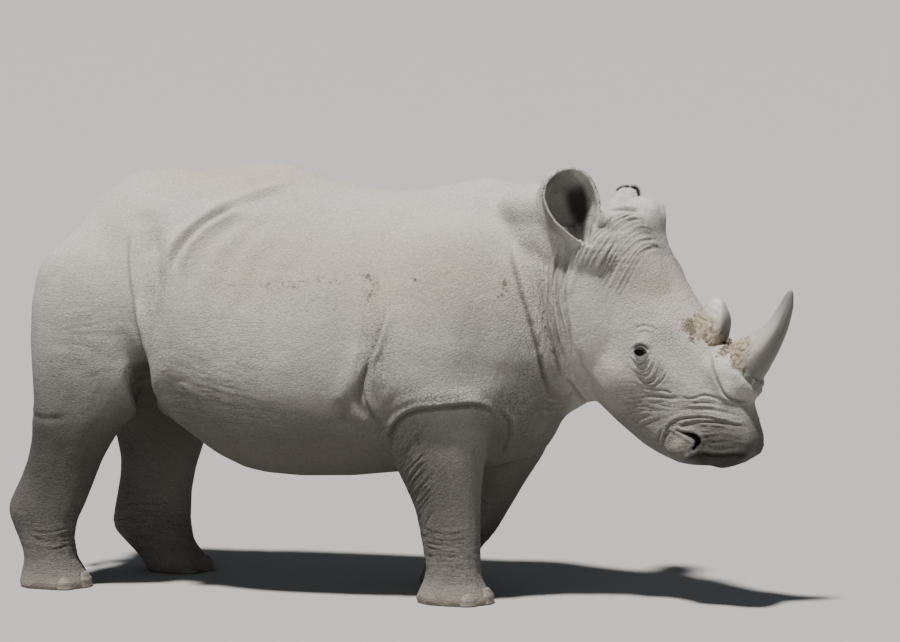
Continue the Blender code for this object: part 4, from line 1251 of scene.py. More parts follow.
MUD = (
    Patch(ON_BODY, (-0.049, 1.274), (0.022, 0.028), 1.0),
    Patch(ON_BODY, (-0.038, 1.203), (0.018, 0.022), 1.0),
    Patch(ON_BODY, (-0.035, 1.240), (0.036, 0.060), 0.6),
    Patch(ON_BODY, (0.139, 1.266), (0.020, 0.016), 1.0),
    Patch(ON_BODY, (0.476, 1.257), (0.020, 0.026), 1.0),
    Patch(ON_BODY, (0.474, 1.209), (0.034, 0.024), 1.0),
    Patch(ON_BODY, (-0.390, 1.239), (0.110, 0.020), 0.7),
    Patch(ON_BODY, (-0.230, 1.262), (0.120, 0.022), 0.7),
    Patch(ON_BODY, (-0.620, 1.236), (0.140, 0.014), 0.5),
)
SHADE = (Patch(ON_BODY, (-0.056, 0.845), (0.030, 0.060), 0.4),)
# painted shade: the muzzle (partly wet dark lips), the forehead, the hind leg and the foreleg
DAMP_AND_SHADE = (
    Patch(ON_HEAD, (0.970, -0.080), (0.100, 0.110), 2.0),
    Patch(ON_HEAD, (0.200, 0.120), (0.110, 0.100), 0.3),
    Patch(ON_BODY, (-1.380, 0.560), (0.360, 0.420), 0.8),
    Patch(ON_BODY, (0.190, 0.420), (0.140, 0.240), 0.4),
)
PEBBLED = (
    Patch(ON_BODY, (0.210, 0.815), (0.260, 0.040), 1.0),
    Patch(ON_BODY, (0.560, 1.000), (0.070, 0.260), 0.9),
    Patch(ON_BODY, (0.000, 0.960), (0.060, 0.160), 0.8),
    Patch(ON_BODY, (0.500, 0.780), (0.110, 0.160), 0.8),
    Patch(ON_HEAD, (0.450, 0.020), (0.120, 0.080), 0.5),
)
CAKED = (
    Patch(ON_HEAD, (0.498, 0.088), (0.048, 0.030), 1.0),
    Patch(ON_HEAD, (0.530, 0.070), (0.045, 0.022), 0.7),
    Patch(ON_HEAD, (0.632, 0.150), (0.045, 0.040), 1.0),
    Patch(ON_HEAD, (0.700, 0.150), (0.050, 0.030), 0.7),
)
PALE = (
    Patch(ON_HEAD, (0.720, 0.105), (0.105, 0.050), 1.0),
    Patch(ON_HEAD, (0.560, 0.000), (0.230, 0.120), 0.8),
    Patch(ON_HEAD, (0.380, -0.190), (0.140, 0.120), 0.7),
    Patch(ON_HEAD, (0.010, 0.160), (0.100, 0.060), 0.7),
)
LEVEL = (
    Patch(ON_BODY, (-0.660, 0.840), (0.330, 0.200), 0.9),
    Patch(ON_BODY, (-1.200, 0.960), (0.220, 0.200), 0.6),
    Patch(ON_BODY, (0.230, 0.200), (0.250, 0.130), 1.0),
    Patch(ON_BODY, (-1.250, 0.200), (0.400, 0.140), 1.0),
    Patch(ON_HEAD, (0.800, -0.130), (0.170, 0.130), 1.0),
    Patch(ON_HEAD, (0.620, -0.230), (0.120, 0.080), 0.7),
)
UPRIGHT = (
    Patch(ON_BODY, (0.640, 1.120), (0.090, 0.300), 0.8),
    Patch(ON_BODY, (0.500, 0.780), (0.130, 0.200), 0.5),
    Patch(ON_BODY, (-0.020, 0.980), (0.050, 0.180), 0.6),
    Patch(ON_BODY, (-0.900, 1.200), (0.060, 0.260), 0.5),
)
LEANING = (
    Patch(ON_BODY, (0.120, 0.500), (0.130, 0.210), 1.0),
    Patch(ON_BODY, (0.060, 0.690), (0.080, 0.080), 0.8),
    Patch(ON_HEAD, (0.110, 0.010), (0.160, 0.150), 0.35),
)
print(len(DUST + MUD + DAMP_AND_SHADE), "patches of dust, mud and damp")

# %% [markdown]
# ## From patches to marks
# Each patch fades out from its middle in the side view, and a mark takes the strongest patch at each
# vertex. The ears' cups get painted shade by how deep a vertex lies, the most before their front walls.

# %% Marks and how they are kept
MARKS = {
    "dust": DUST,
    "mud": MUD,
    "caked": CAKED,
    "pale": PALE,
    "level": LEVEL,
    "upright": UPRIGHT,
    "leaning": LEANING,
    "damp": DAMP_AND_SHADE,
    "pebbled": PEBBLED,
}


def patched(patches, places):
    """How much of a mark each place has: the strongest of the patches there."""
    where = side_view(places)
    on_head = step_between(places[:, 0], 0.62, 0.72)
    share = {ON_BODY: 1.0 - on_head, ON_HEAD: on_head}
    total = np.zeros(len(places))
    for patch in patches:
        here = patch.strength * falloff(where[patch.frame], patch) * share[patch.frame]
        total = np.maximum(total, here)
    return total


def inside_ears(places, ways):
    """Painted shade in the cup of an ear: how deep each vertex lies, the most before its front wall."""
    total = np.zeros(len(places))
    for node in EARS:
        foot, along, across, way = (np.array(v) for v in ear_axes(node))
        offset = places - foot
        up, wide, deep = offset @ along, offset @ across, offset @ way
        if (across @ np.array(HEAD)[:3, 0]) < 0:
            wide, across = -wide, -across
        half = np.interp(up, [c.along for c in CUPS], [c.half_width + EAR_WALL for c in CUPS])
        depth = np.interp(up, [c.along for c in CUPS], [c.depth + EAR_WALL for c in CUPS])
        inward = -np.outer(wide / half**2, across)
        inward -= np.outer(deep / depth**2, way)
        toward = (inward * ways).sum(axis=1) / (np.linalg.norm(inward, axis=1) + 1e-9)
        within = (np.hypot(wide / half, np.minimum(deep, 0.0) / depth) < 1.02) & (deep < 0.5 * depth)
        here = within * step_between(up, -0.070, -0.040) * step_between(up, 0.262, 0.235)
        deepest_shade = step_between(wide, -0.010, 0.030) * step_between(up, 0.200, 0.130)
        deepest_shade = np.maximum(deepest_shade, step_between(up, 0.060, 0.000))
        pale_rim = step_between(wide, half - 0.014, half - 0.034)
        total = np.maximum(total, here * pale_rim * step_between(toward, 0.05, 0.5) * (0.36 + 0.64 * deepest_shade))
    return total


def keep_mark(made, name, values):
    mark = made.data.attributes.get(name) or made.data.attributes.new(name, "FLOAT", "POINT")
    mark.data.foreach_set("value", np.clip(values, 0.0, 1.0).astype(np.float32))


def read_mark(made, name):
    values = np.empty(len(made.data.vertices), np.float32)
    made.data.attributes[name].data.foreach_get("value", values)
    return values


# the fold mark is painted shade in grooves, under edges and in hollows, with dirt where dust doesn't reach
keep_mark(skin, "fold", shade)
# the dark mark: the lids' dark rims, with painted shade above the eyes and in the nostrils
keep_mark(skin, "dark", dark)
print("marks kept on", len(skin.data.vertices), "vertices")

# %% [markdown]
# ## Fewer faces
# The sculpted grid is far finer on the smooth barrel of the body than its shape needs. Decimate merges
# faces where the surface is nearly flat and keeps them in the folds, so the count drops to what a file of
# this skin may hold, with nearly all of the relief still there.

# %% Reduce the skin to what its folds need
SKIN_TRIANGLES = 198000
FOLDED_OVER = -0.3  # two faces whose normals agree less than this lie over each other


def reduced(made, triangles):
    made.data.calc_loop_triangles()
    step = made.modifiers.new("fewer", "DECIMATE")
    step.ratio = triangles / len(made.data.loop_triangles)
    return settle(made)


def unfolded(made, rounds=6):
    """Smooths the few corners where merging has folded one face over its neighbour."""
    bm = bmesh.new()
    bm.from_mesh(made.data)
    mended = 0
    for _ in range(rounds):
        bm.normal_update()
        corners = set()
        for edge in bm.edges:
            sides = [face.normal for face in edge.link_faces]
            if len(sides) == 2 and sides[0].dot(sides[1]) < FOLDED_OVER:
                corners.update(edge.verts)
        if not corners:
            break
        mended = max(mended, len(corners))
        corners = sorted(corners, key=lambda v: v.index)
        every_way = {"use_axis_" + axis: True for axis in "xyz"}
        bmesh.ops.smooth_vert(bm, verts=corners, factor=0.5, **every_way)
    bm.to_mesh(made.data)
    bm.free()
    return mended


reduced(skin, SKIN_TRIANGLES)
print("corners unfolded:", unfolded(skin))
ways = normals_of(skin)
places = kept_up(skin)
for name, patches in MARKS.items():
    keep_mark(skin, name, patched(patches, places))
# painted shade in the hollows between the legs and the body
deep = np.maximum(hollowed(GROIN_SHADE, places, FLAT_TOPPED), hollowed(ARMPIT_SHADE, places, FLAT_TOPPED))
shaded = np.maximum(read_mark(skin, "fold"), patched(SHADE, places))
keep_mark(skin, "fold", np.maximum(shaded, deep))
keep_mark(skin, "settled", step_between(ways[:, 2], -0.05, 0.75))
# painted shade on hide that faces down, less of it on the face
on_face = step_between(places[:, 0], 0.62, 0.75)
keep_mark(skin, "under", step_between(ways[:, 2], -0.05, -0.60) * (1.0 - 0.8 * on_face))
keep_mark(skin, "cup", inside_ears(places, ways))
skin.data.shade_smooth()
skin.data.calc_loop_triangles()
print("skin reduced to", len(skin.data.polygons), "faces,", len(skin.data.loop_triangles), "triangles")

# %% [markdown]
# ## Materials by nodes
# A finish is a small tree of nodes. Each of them starts from the piece's own place in space, so nothing is
# stretched and no image is needed. A few helpers keep the trees short to read.

# %% Helpers for node trees
class Tree:
    """A material's nodes, with short calls to add and join them."""

    def __init__(self, name):
        self.material = bpy.data.materials.new(name)
        self.material.use_nodes = True
        self.nodes = self.material.node_tree.nodes
        self.links = self.material.node_tree.links
        self.shader = self.nodes["Principled BSDF"]
        self.place = self.nodes.new("ShaderNodeTexCoord").outputs["Object"]

    def add(self, kind, settings=(), **inputs):
        made = self.nodes.new("ShaderNode" + kind)
        for key, value in dict(settings).items():
            setattr(made, key, value)
        for key, value in inputs.items():
            self.put(made.inputs[key.replace("_", " ")], value)
        return made

    def put(self, socket, value):
        if isinstance(value, bpy.types.NodeSocket):
            self.links.new(value, socket)
        else:
            socket.default_value = value

    def noise(self, scale, detail=4.0, rough=0.55, place=None):
        made = self.add("TexNoise", Scale=scale, Detail=detail, Roughness=rough, Vector=place or self.place)
        return made.outputs["Fac"]

    def cells(self, scale, feature="DISTANCE_TO_EDGE", place=None):
        made = self.add("TexVoronoi", {"feature": feature}, Scale=scale, Vector=place or self.place)
        return made.outputs["Distance"]

    def ramp(self, value, low, high, start=0.0, end=1.0):
        """A smooth step from start to end while the value goes from low to high."""
        limits = {"From_Min": low, "From_Max": high, "To_Min": start, "To_Max": end}
        made = self.add("MapRange", {"interpolation_type": "SMOOTHSTEP"}, Value=value, **limits)
        return made.outputs["Result"]

    def reckon(self, kind, a, b=0.0):
        """One step of arithmetic, such as ADD or MAXIMUM."""
        made = self.add("Math", {"operation": kind})
        self.put(made.inputs[0], a)
        self.put(made.inputs[1], b)
        return made.outputs[0]

    def times(self, a, b):
        return self.reckon("MULTIPLY", a, b)

    def centred(self, value):
        """Noise made to run from below nothing to above it."""
        return self.reckon("SUBTRACT", value, 0.5)

    def mix(self, share, first, second, kind="MIX"):
        made = self.add("Mix", {"data_type": "RGBA", "blend_type": kind})
        self.put(made.inputs["Factor"], share)
        self.put(made.inputs["A"], first)
        self.put(made.inputs["B"], second)
        return made.outputs["Result"]

    def mark(self, name):
        return self.add("Attribute", {"attribute_name": name}).outputs["Fac"]

    def along(self, axis, of=None):
        return self.add("SeparateXYZ", Vector=of or self.place).outputs[axis]

    def finish(self, colour, roughness, normal=None, gloss=None):
        """Joins what has been made to the shader, and gives the material."""
        self.put(self.shader.inputs["Base Color"], colour)
        self.put(self.shader.inputs["Roughness"], roughness)
        if normal is not None:
            self.put(self.shader.inputs["Normal"], normal)
        if gloss is not None:
            self.put(self.shader.inputs["Specular IOR Level"], gloss)
        return self.material

    def bump(self, height, strength, distance, below=None):
        made = self.add("Bump", Strength=strength, Distance=distance, Height=height)
        if below is not None:
            self.links.new(below, made.inputs["Normal"])
        return made.outputs["Normal"]

    def spot(self, clod, crumbs):
        """A ragged spot at a place: 1 within its radius, 0 outside it."""
        middle, radius = clod
        gap = self.add("VectorMath", {"operation": "DISTANCE"})
        self.put(gap.inputs[0], self.place)
        self.put(gap.inputs[1], middle)
        ragged = self.reckon("ADD", gap.outputs["Value"], self.times(self.centred(crumbs), 2.2 * radius))
        return self.ramp(ragged, radius, 0.6 * radius)

    def stretched(self, scale, turn=0.0):
        """The place turned in the side view and then stretched."""
        turned = self.add("Mapping", Vector=self.place, Rotation=(0.0, turn, 0.0)).outputs["Vector"]
        return self.add("Mapping", Vector=turned, Scale=scale).outputs["Vector"]

    def lines(self, mark, scale, turn=0.0):
        """Fine branching lines, where a mark asks for them: 1 in a line, 0 off it."""
        cloud = self.noise(1.0, 3.0, 0.55, self.stretched(scale, turn))
        off_line = self.reckon("ABSOLUTE", self.centred(cloud))
        return self.times(self.ramp(off_line, 0.045, 0.0), self.mark(mark))

# %% [markdown]
# ## The hide
# Dry hide is a pale warm grey, because dust lies on it. It is pinkish tan where the animal has rolled,
# darker in the folds, where dust doesn't reach and painted shade lies, and nearly black inside the ears
# and nostrils, which is painted shade, and on the rims of the lids, dark skin with a painted shadow above.
# It is darkened as painted shade towards the ground, partly as mud, and on its undersides, and the wet
# muzzle, the forehead and the legs carry painted shade as well. Its surface is a net of small cells with
# fine creases across them.

# %% Hide finish
HIDE_GLOSS = 0.25
CLODS = (  # clots of mud on the near flank, each with its radius
    ((-0.050, -0.369, 1.276), 0.013),
    ((-0.036, -0.392, 1.206), 0.009),
    ((0.139, -0.374, 1.266), 0.008),
    ((0.478, -0.319, 1.256), 0.011),
    ((0.470, -0.331, 1.212), 0.009),
    ((-0.330, -0.385, 1.268), 0.007),
)


HIDE_DARK, HIDE_LIGHT = (0.385, 0.364, 0.340, 1), (0.455, 0.434, 0.408, 1)
HIDE_MOTTLE = (0.335, 0.315, 0.295, 1)
SETTLED_DUST = (0.560, 0.530, 0.495, 1)
TAN_DUST = (0.470, 0.375, 0.300, 1)
# painted shade, partly mud, low on the body and legs
LOW_SHADE_AND_MUD = (0.110, 0.100, 0.091, 1)
# painted shade on the undersides
UNDERSIDE_SHADE = (0.075, 0.068, 0.060, 1)
# painted shade, and wet dark lips
DAMP_AND_SHADE_HIDE = (0.032, 0.029, 0.026, 1)
FOOT_DUST = (0.34, 0.30, 0.25, 1)
PALE_HIDE = (0.60, 0.57, 0.53, 1)
CAKED_DARK, CAKED_LIGHT = (0.240, 0.185, 0.130, 1), (0.50, 0.415, 0.315, 1)
MUD_BROWN = (0.105, 0.085, 0.068, 1)
SPECK_BROWN = (0.20, 0.165, 0.14, 1)
CREASE_GREY = (0.130, 0.115, 0.103, 1)
# painted shade and dirt in the folds
FOLD_DIRT_AND_SHADE = (0.070, 0.060, 0.052, 1)
# painted shade in the ears' cups
EAR_CUP_SHADE = (0.022, 0.020, 0.020, 1)
# dark lid rims, and painted shade over the eyes and in the nostrils
LID_RIM_AND_SHADE = (0.012, 0.010, 0.010, 1)


def hide_finish():
    tree = Tree("hide")
    clouds = tree.noise(1.7, 5.0, 0.6)
    mottle = tree.noise(9.0, 6.0, 0.65)
    grain = tree.noise(120.0, 5.0, 0.7)
    colour = tree.mix(tree.ramp(clouds, 0.35, 0.65), HIDE_DARK, HIDE_LIGHT)
    colour = tree.mix(tree.ramp(mottle, 0.30, 0.75, 0.0, 0.45), colour, HIDE_MOTTLE)
    colour = tree.mix(tree.times(tree.mark("settled"), 0.65), colour, SETTLED_DUST)
    dusty = tree.times(tree.mark("dust"), tree.ramp(mottle, 0.66, 0.34, 0.40, 1.0))
    colour = tree.mix(tree.times(dusty, 0.80), colour, TAN_DUST)
    height = tree.along("Z")
    # painted shade, partly mud: the hide darkens towards the ground
    low = tree.ramp(tree.reckon("ADD", height, tree.times(clouds, 0.25)), 1.12, 0.62, 0.0, 0.80)
    colour = tree.mix(low, colour, LOW_SHADE_AND_MUD)
    # painted shade where the hide faces down
    colour = tree.mix(tree.times(tree.mark("under"), 0.70), colour, UNDERSIDE_SHADE)
    # painted shade and wet lips, broken a little by the mottle
    damp = tree.times(tree.mark("damp"), tree.ramp(mottle, 0.25, 0.70, 0.90, 1.00))
    colour = tree.mix(damp, colour, DAMP_AND_SHADE_HIDE)
    colour = tree.mix(tree.ramp(height, 0.10, 0.02, 0.0, 0.40), colour, FOOT_DUST)
    colour = tree.mix(tree.times(tree.mark("pale"), 0.6), colour, PALE_HIDE)
    scab = tree.ramp(tree.noise(70.0, 7.0, 0.7), 0.40, 0.60)
    caked = tree.mix(scab, CAKED_DARK, CAKED_LIGHT)
    rags = tree.times(tree.centred(tree.noise(38.0, 5.0, 0.65)), 1.6)
    ragged = tree.reckon("ADD", tree.mark("caked"), rags)
    crusty = tree.times(tree.ramp(ragged, 0.45, 0.70), tree.ramp(tree.mark("caked"), 0.10, 0.30))
    colour = tree.mix(tree.times(crusty, 0.85), colour, caked)
    crumbs = tree.noise(58.0, 4.0, 0.65)
    blots = tree.times(tree.ramp(crumbs, 0.50, 0.62), tree.ramp(tree.mark("mud"), 0.15, 0.60))
    for clod in CLODS:
        blots = tree.reckon("MAXIMUM", blots, tree.spot(clod, crumbs))
    colour = tree.mix(tree.times(blots, 0.75), colour, MUD_BROWN)
    dots = tree.ramp(tree.cells(26.0, "F1"), 0.16, 0.05)
    specks = tree.times(dots, tree.ramp(mottle, 0.55, 0.70, 0.0, 0.6))
    colour = tree.mix(specks, colour, SPECK_BROWN)
    level = tree.lines("level", (9.0, 9.0, 62.0))
    upright = tree.lines("upright", (62.0, 62.0, 9.0))
    leaning = tree.lines("leaning", (9.0, 9.0, 62.0), math.radians(50.0))
    lines = tree.reckon("MAXIMUM", tree.reckon("MAXIMUM", level, upright), leaning)
    colour = tree.mix(tree.times(lines, 0.17), colour, CREASE_GREY)
    grainy = tree.ramp(grain, 0.30, 0.70, 0.80, 1.12)
    shade = tree.add("CombineColor", Red=grainy, Green=grainy, Blue=grainy).outputs["Color"]
    colour = tree.mix(1.0, colour, shade, "MULTIPLY")
    # folds darkened with painted shade and dirt
    colour = tree.mix(tree.times(tree.mark("fold"), 0.85), colour, FOLD_DIRT_AND_SHADE)
    # painted shade in the ears' cups, deepest before their front walls
    colour = tree.mix(tree.times(tree.mark("cup"), 0.96), colour, EAR_CUP_SHADE)
    # dark lid rims, with painted shade above the eyes and in the nostrils
    colour = tree.mix(tree.mark("dark"), colour, LID_RIM_AND_SHADE)

    bent = tree.add("VectorMath", {"operation": "ADD"})
    tree.put(bent.inputs[0], tree.place)
    wander = tree.add("VectorMath", {"operation": "SCALE"}, Scale=0.02)
    tangle = tree.add("TexNoise", Scale=22.0, Detail=3.0, Vector=tree.place)
    tree.put(wander.inputs[0], tangle.outputs["Color"])
    tree.put(bent.inputs[1], wander.outputs[0])
    net = tree.ramp(tree.cells(62.0, place=bent.outputs[0]), 0.0, 0.16)
    small_net = tree.ramp(tree.cells(150.0, place=bent.outputs[0]), 0.0, 0.2)
    normal = tree.bump(tree.noise(34.0, 7.0, 0.62), 0.44, 0.010)
    normal = tree.bump(tree.reckon("SUBTRACT", 1.0, lines), 0.75, 0.005, normal)
    normal = tree.bump(scab, tree.times(crusty, 0.9), 0.012, normal)
    normal = tree.bump(crumbs, tree.times(blots, 0.6), 0.010, normal)
    normal = tree.bump(net, tree.reckon("ADD", 0.32, tree.times(tree.mark("pebbled"), 0.55)), 0.0045, normal)
    normal = tree.bump(small_net, 0.26, 0.0016, normal)
    return tree.finish(colour, tree.ramp(mottle, 0.3, 0.7, 0.78, 0.95), normal, HIDE_GLOSS)


def dress(made, *finishes):
    made.data.materials.clear()
    for finish in finishes:
        made.data.materials.append(finish)


dress(skin, hide_finish())
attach(skin, "root")
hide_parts(*FLESH)
print("hide has", len(skin.data.materials[0].node_tree.nodes), "nodes")

# %% [markdown]
# ## The horns
# A horn has no bone in it: it is a bundle of fibres that grows from the hide, rough and frayed round its
# base and rubbed smooth towards the tip. Its shape is a rule, so it is made as rings along a bent axis, and
# the fibres are a ripple of noise round each ring that grows stronger towards the base.

# %% Horn shapes
Ring = namedtuple("Ring", "along up half_length half_width")
HORN_FRONT = (
    Ring(0.730, 0.108, 0.116, 0.102),
    Ring(0.728, 0.122, 0.112, 0.099),
    Ring(0.715, 0.160, 0.098, 0.090),
    Ring(0.709, 0.210, 0.081, 0.073),
    Ring(0.699, 0.270, 0.061, 0.056),
    Ring(0.672, 0.347, 0.042, 0.040),
    Ring(0.632, 0.415, 0.029, 0.027),
    Ring(0.607, 0.448, 0.019, 0.018),
    Ring(0.593, 0.467, 0.011, 0.010),
    Ring(0.588, 0.474, 0.004, 0.004),
)
HORN_REAR = (
    Ring(0.506, 0.045, 0.112, 0.134),
    Ring(0.514, 0.072, 0.108, 0.116),
    Ring(0.517, 0.098, 0.098, 0.096),
    Ring(0.512, 0.126, 0.084, 0.076),
    Ring(0.500, 0.155, 0.066, 0.055),
    Ring(0.475, 0.185, 0.043, 0.034),
    Ring(0.460, 0.203, 0.027, 0.022),
    Ring(0.454, 0.211, 0.012, 0.010),
)
HORN_POINTS = 112  # round a ring
RING_GAP = 0.0032  # between one ring and the next


def horn_swell(c, s, rise, foot, seed):
    """How far a horn stands out from its smooth shape: grooves between fibres, and scabs round the foot."""
    fibre = noise.noise(Vector((c * 14, s * 14, rise * 2.2 + seed)))
    fine = noise.noise(Vector((c * 34, s * 34, rise * 3.0 - seed)))
    scab = noise.turbulence(Vector((c * 3.2, s * 3.2, rise * 11 + seed)), 4, False)
    rearward = 0.5 - 0.5 * s
    rough = math.exp(-((rise / (foot * (0.30 + 0.70 * rearward))) ** 2))
    swell = -0.0011 * abs(fibre) - 0.0006 * abs(fine)
    return swell + rough * (0.011 * (scab - 0.5) - 0.0032 * abs(fine) - 0.003 * abs(fibre))


def squared(value, power):
    """A sine or cosine drawn towards the corners of a square, where the power is more than 2."""
    return math.copysign(abs(value) ** (2 / power), value)


def horn(name, table, node, foot, square, seed):
    """A horn as rings along its axis, with fibres and a crusty foot. UV runs round it and along it."""
    rows = curve_through(table, RING_GAP)
    heights = rows[:, 1]
    rise = (heights - heights[0]) / (heights[-1] - heights[0])
    bm = bmesh.new()
    layer = bm.loops.layers.uv.new("turn_and_rise")
    loops = []
    for i, (along, up, half_length, half_width) in enumerate(rows):
        before, after = rows[max(i - 1, 0)], rows[min(i + 1, len(rows) - 1)]
        lean = Vector((after[0] - before[0], 0.0, after[1] - before[1])).normalized()
        across = Vector((lean.z, 0.0, -lean.x))
        ring = []
        for k in range(HORN_POINTS):
            angle = 2 * math.pi * k / HORN_POINTS
            c, s = math.cos(angle), math.sin(angle)
            swell = horn_swell(c, s, rise[i], foot, seed)
            wide = (half_width + swell) * squared(c, square)
            long = (half_length + swell) * squared(s, square)
            ring.append(bm.verts.new(HEAD @ (Vector((along, wide, up)) + across * long)))
        loops.append(ring)
    for i in range(len(loops) - 1):
        for k in range(HORN_POINTS):
            n = (k + 1) % HORN_POINTS
            face = bm.faces.new((loops[i][k], loops[i][n], loops[i + 1][n], loops[i + 1][k]))
            corners = ((k, i), (k + 1, i), (k + 1, i + 1), (k, i + 1))
            for corner, (a, b) in zip(face.loops, corners):
                corner[layer].uv = (a / HORN_POINTS, rise[b])
    for end, level in ((loops[0], 0.0), (loops[-1], 1.0)):
        middle = bm.verts.new(sum((v.co for v in end), Vector()) / HORN_POINTS)
        for k in range(HORN_POINTS):
            face = bm.faces.new((end[k], end[(k + 1) % HORN_POINTS], middle))
            for corner in face.loops:
                corner[layer].uv = (k / HORN_POINTS, level)
    bmesh.ops.recalc_face_normals(bm, faces=bm.faces)
    made = object_of(bm, name)
    made.data.shade_smooth()
    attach(made, "root")
    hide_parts(node)
    return made


front_horn = horn("front_horn", HORN_FRONT, "horn_front", 0.42, 2.1, 3.0)
rear_horn = horn("rear_horn", HORN_REAR, "horn_rear", 1.05, 3.8, 8.0)
print("horns have", len(front_horn.data.polygons), "and", len(rear_horn.data.polygons), "faces")

# %% [markdown]
# ## Horn finish
# The rubbed upper part is a pale grey cream with faint darker streaks along the fibres, greyer at the very
# tip. The foot is caked with tan dust and dark in its cracks. The streaks follow the horn's own UV map,
# round it and along it, so they bend with it.

# %% Horn finish
FIBRE_LIGHT, FIBRE_DARK = (0.50, 0.465, 0.410, 1), (0.33, 0.305, 0.265, 1)
HORN_BLOTCH = (0.44, 0.425, 0.395, 1)
# painted shade for the horn's front side
FRONT_SHADE = (0.100, 0.093, 0.083, 1)
SCAB_DARK, SCAB_LIGHT = (0.190, 0.150, 0.105, 1), (0.50, 0.420, 0.315, 1)
GREY_TIP = (0.160, 0.162, 0.165, 1)
CREAM_TIP = (0.60, 0.58, 0.54, 1)
REAR_EDGE = 0.75  # where a horn's rear edge lies on its way round


def horn_finish(name, crust, least, front, tip_colour):
    """Crust says how far up the rear edge the caked foot goes, and least how much of that in front."""
    tree = Tree(name)
    around_it = tree.add("UVMap", {"uv_map": "turn_and_rise"}).outputs["UV"]
    rise = tree.along("Y", around_it)
    turn = tree.along("X", around_it)
    rearward = tree.reckon("COSINE", tree.times(tree.reckon("SUBTRACT", turn, REAR_EDGE), 2 * math.pi))
    crust_here = tree.ramp(rearward, -0.9, 0.8, least * crust, crust)
    streak_place = tree.add("Mapping", Vector=around_it, Scale=(70.0, 2.4, 1.0)).outputs["Vector"]
    streaks = tree.noise(1.0, 5.0, 0.6, streak_place)
    blotch = tree.noise(26.0, 6.0, 0.65)
    colour = tree.mix(tree.ramp(streaks, 0.35, 0.70), FIBRE_LIGHT, FIBRE_DARK)
    colour = tree.mix(tree.ramp(blotch, 0.40, 0.70, 0.0, 0.5), colour, HORN_BLOTCH)
    # painted shade on the horn's front side
    colour = tree.mix(tree.ramp(rearward, front, front - 0.50, 0.0, 0.90), colour, FRONT_SHADE)
    colour = tree.mix(tree.ramp(rise, 0.62, 0.96, 0.0, 0.85), colour, tip_colour)
    scabs = tree.noise(60.0, 7.0, 0.7)
    caked = tree.mix(tree.ramp(scabs, 0.38, 0.62), SCAB_DARK, SCAB_LIGHT)
    wobble = tree.reckon("ADD", rise, tree.times(tree.centred(blotch), 0.22))
    past = tree.reckon("DIVIDE", wobble, crust_here)
    colour = tree.mix(tree.ramp(past, 1.0, 0.72), colour, caked)
    rough = tree.ramp(past, 1.2, 0.7)
    normal = tree.bump(streaks, 0.25, 0.002)
    normal = tree.bump(tree.times(scabs, rough), 0.9, 0.012, normal)
    return tree.finish(colour, tree.ramp(past, 0.6, 1.3, 0.95, 0.50), normal)


dress(front_horn, horn_finish("front_horn", 0.46, 0.04, 0.10, GREY_TIP))
dress(rear_horn, horn_finish("rear_horn", 0.95, 0.60, -0.40, CREAM_TIP))
print("horns dressed")

# %% [markdown]
# ## The nails
# Each foot has three broad nails, worn level with the sole. Copies of their solids are merged, remeshed
# finely and softened, which rounds their edges as walking does, and joined, as all twelve are alike.

# %% Nails
NAIL_SWELL = 0.0005
NAIL_VOXEL = 0.0030
NAIL_PASSES = 6
NAIL_LIGHT, NAIL_DARK = (0.23, 0.205, 0.175, 1), (0.135, 0.120, 0.105, 1)
NAIL_DUST = (0.36, 0.31, 0.25, 1)
NAIL_WORN = (0.37, 0.33, 0.28, 1)


def nails():
    whole = bmesh.new()
    for name in NAILS:
        add_to(whole, swollen(name, NAIL_SWELL))
    made = remeshed(object_of(whole, "nails"), NAIL_VOXEL)
    smoothed(made, NAIL_PASSES)
    kept_up(made)
    made.data.shade_smooth()
    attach(made, "root")
    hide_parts(*NAILS)
    return made


def nail_finish():
    tree = Tree("nail")
    ridges = tree.noise(1.0, 4.0, 0.6, tree.stretched((30.0, 30.0, 320.0)))
    worn = tree.noise(45.0, 5.0, 0.65)
    colour = tree.mix(tree.ramp(ridges, 0.35, 0.65), NAIL_LIGHT, NAIL_DARK)
    colour = tree.mix(tree.ramp(tree.along("Z"), 0.020, 0.004, 0.0, 0.7), colour, NAIL_DUST)
    colour = tree.mix(tree.ramp(worn, 0.50, 0.70, 0.0, 0.5), colour, NAIL_WORN)
    normal = tree.bump(ridges, 0.5, 0.0015, tree.bump(worn, 0.4, 0.002))
    return tree.finish(colour, tree.ramp(worn, 0.3, 0.7, 0.5, 0.8), normal)


nail_set = nails()
dress(nail_set, nail_finish())
print("nails have", len(nail_set.data.polygons), "faces")

# %% [markdown]
# ## The eyes
# A rhinoceros's eye is a dark brown ball that shows little of its pupil under the lids. The ball is a
# little smaller than its solid, with the clear front of the eye standing out as a low dome, and the
# colours are rings round the way it looks.

# %% Eyes
EYE_GAP = 0.0006  # how much smaller the ball is than its solid
CORNEA_FROM, CORNEA_SPAN, CORNEA_HEIGHT = 0.80, 0.20, 0.0016  # the clear dome's edge, reach and rise
IRIS_DARK, IRIS_LIGHT = (0.006, 0.004, 0.003, 1), (0.014, 0.008, 0.005, 1)
PUPIL = (0.003, 0.003, 0.003, 1)
BALL_BROWN = (0.012, 0.008, 0.007, 1)
EYE_ROUGHNESS, EYE_GLOSS = 0.35, 0.15


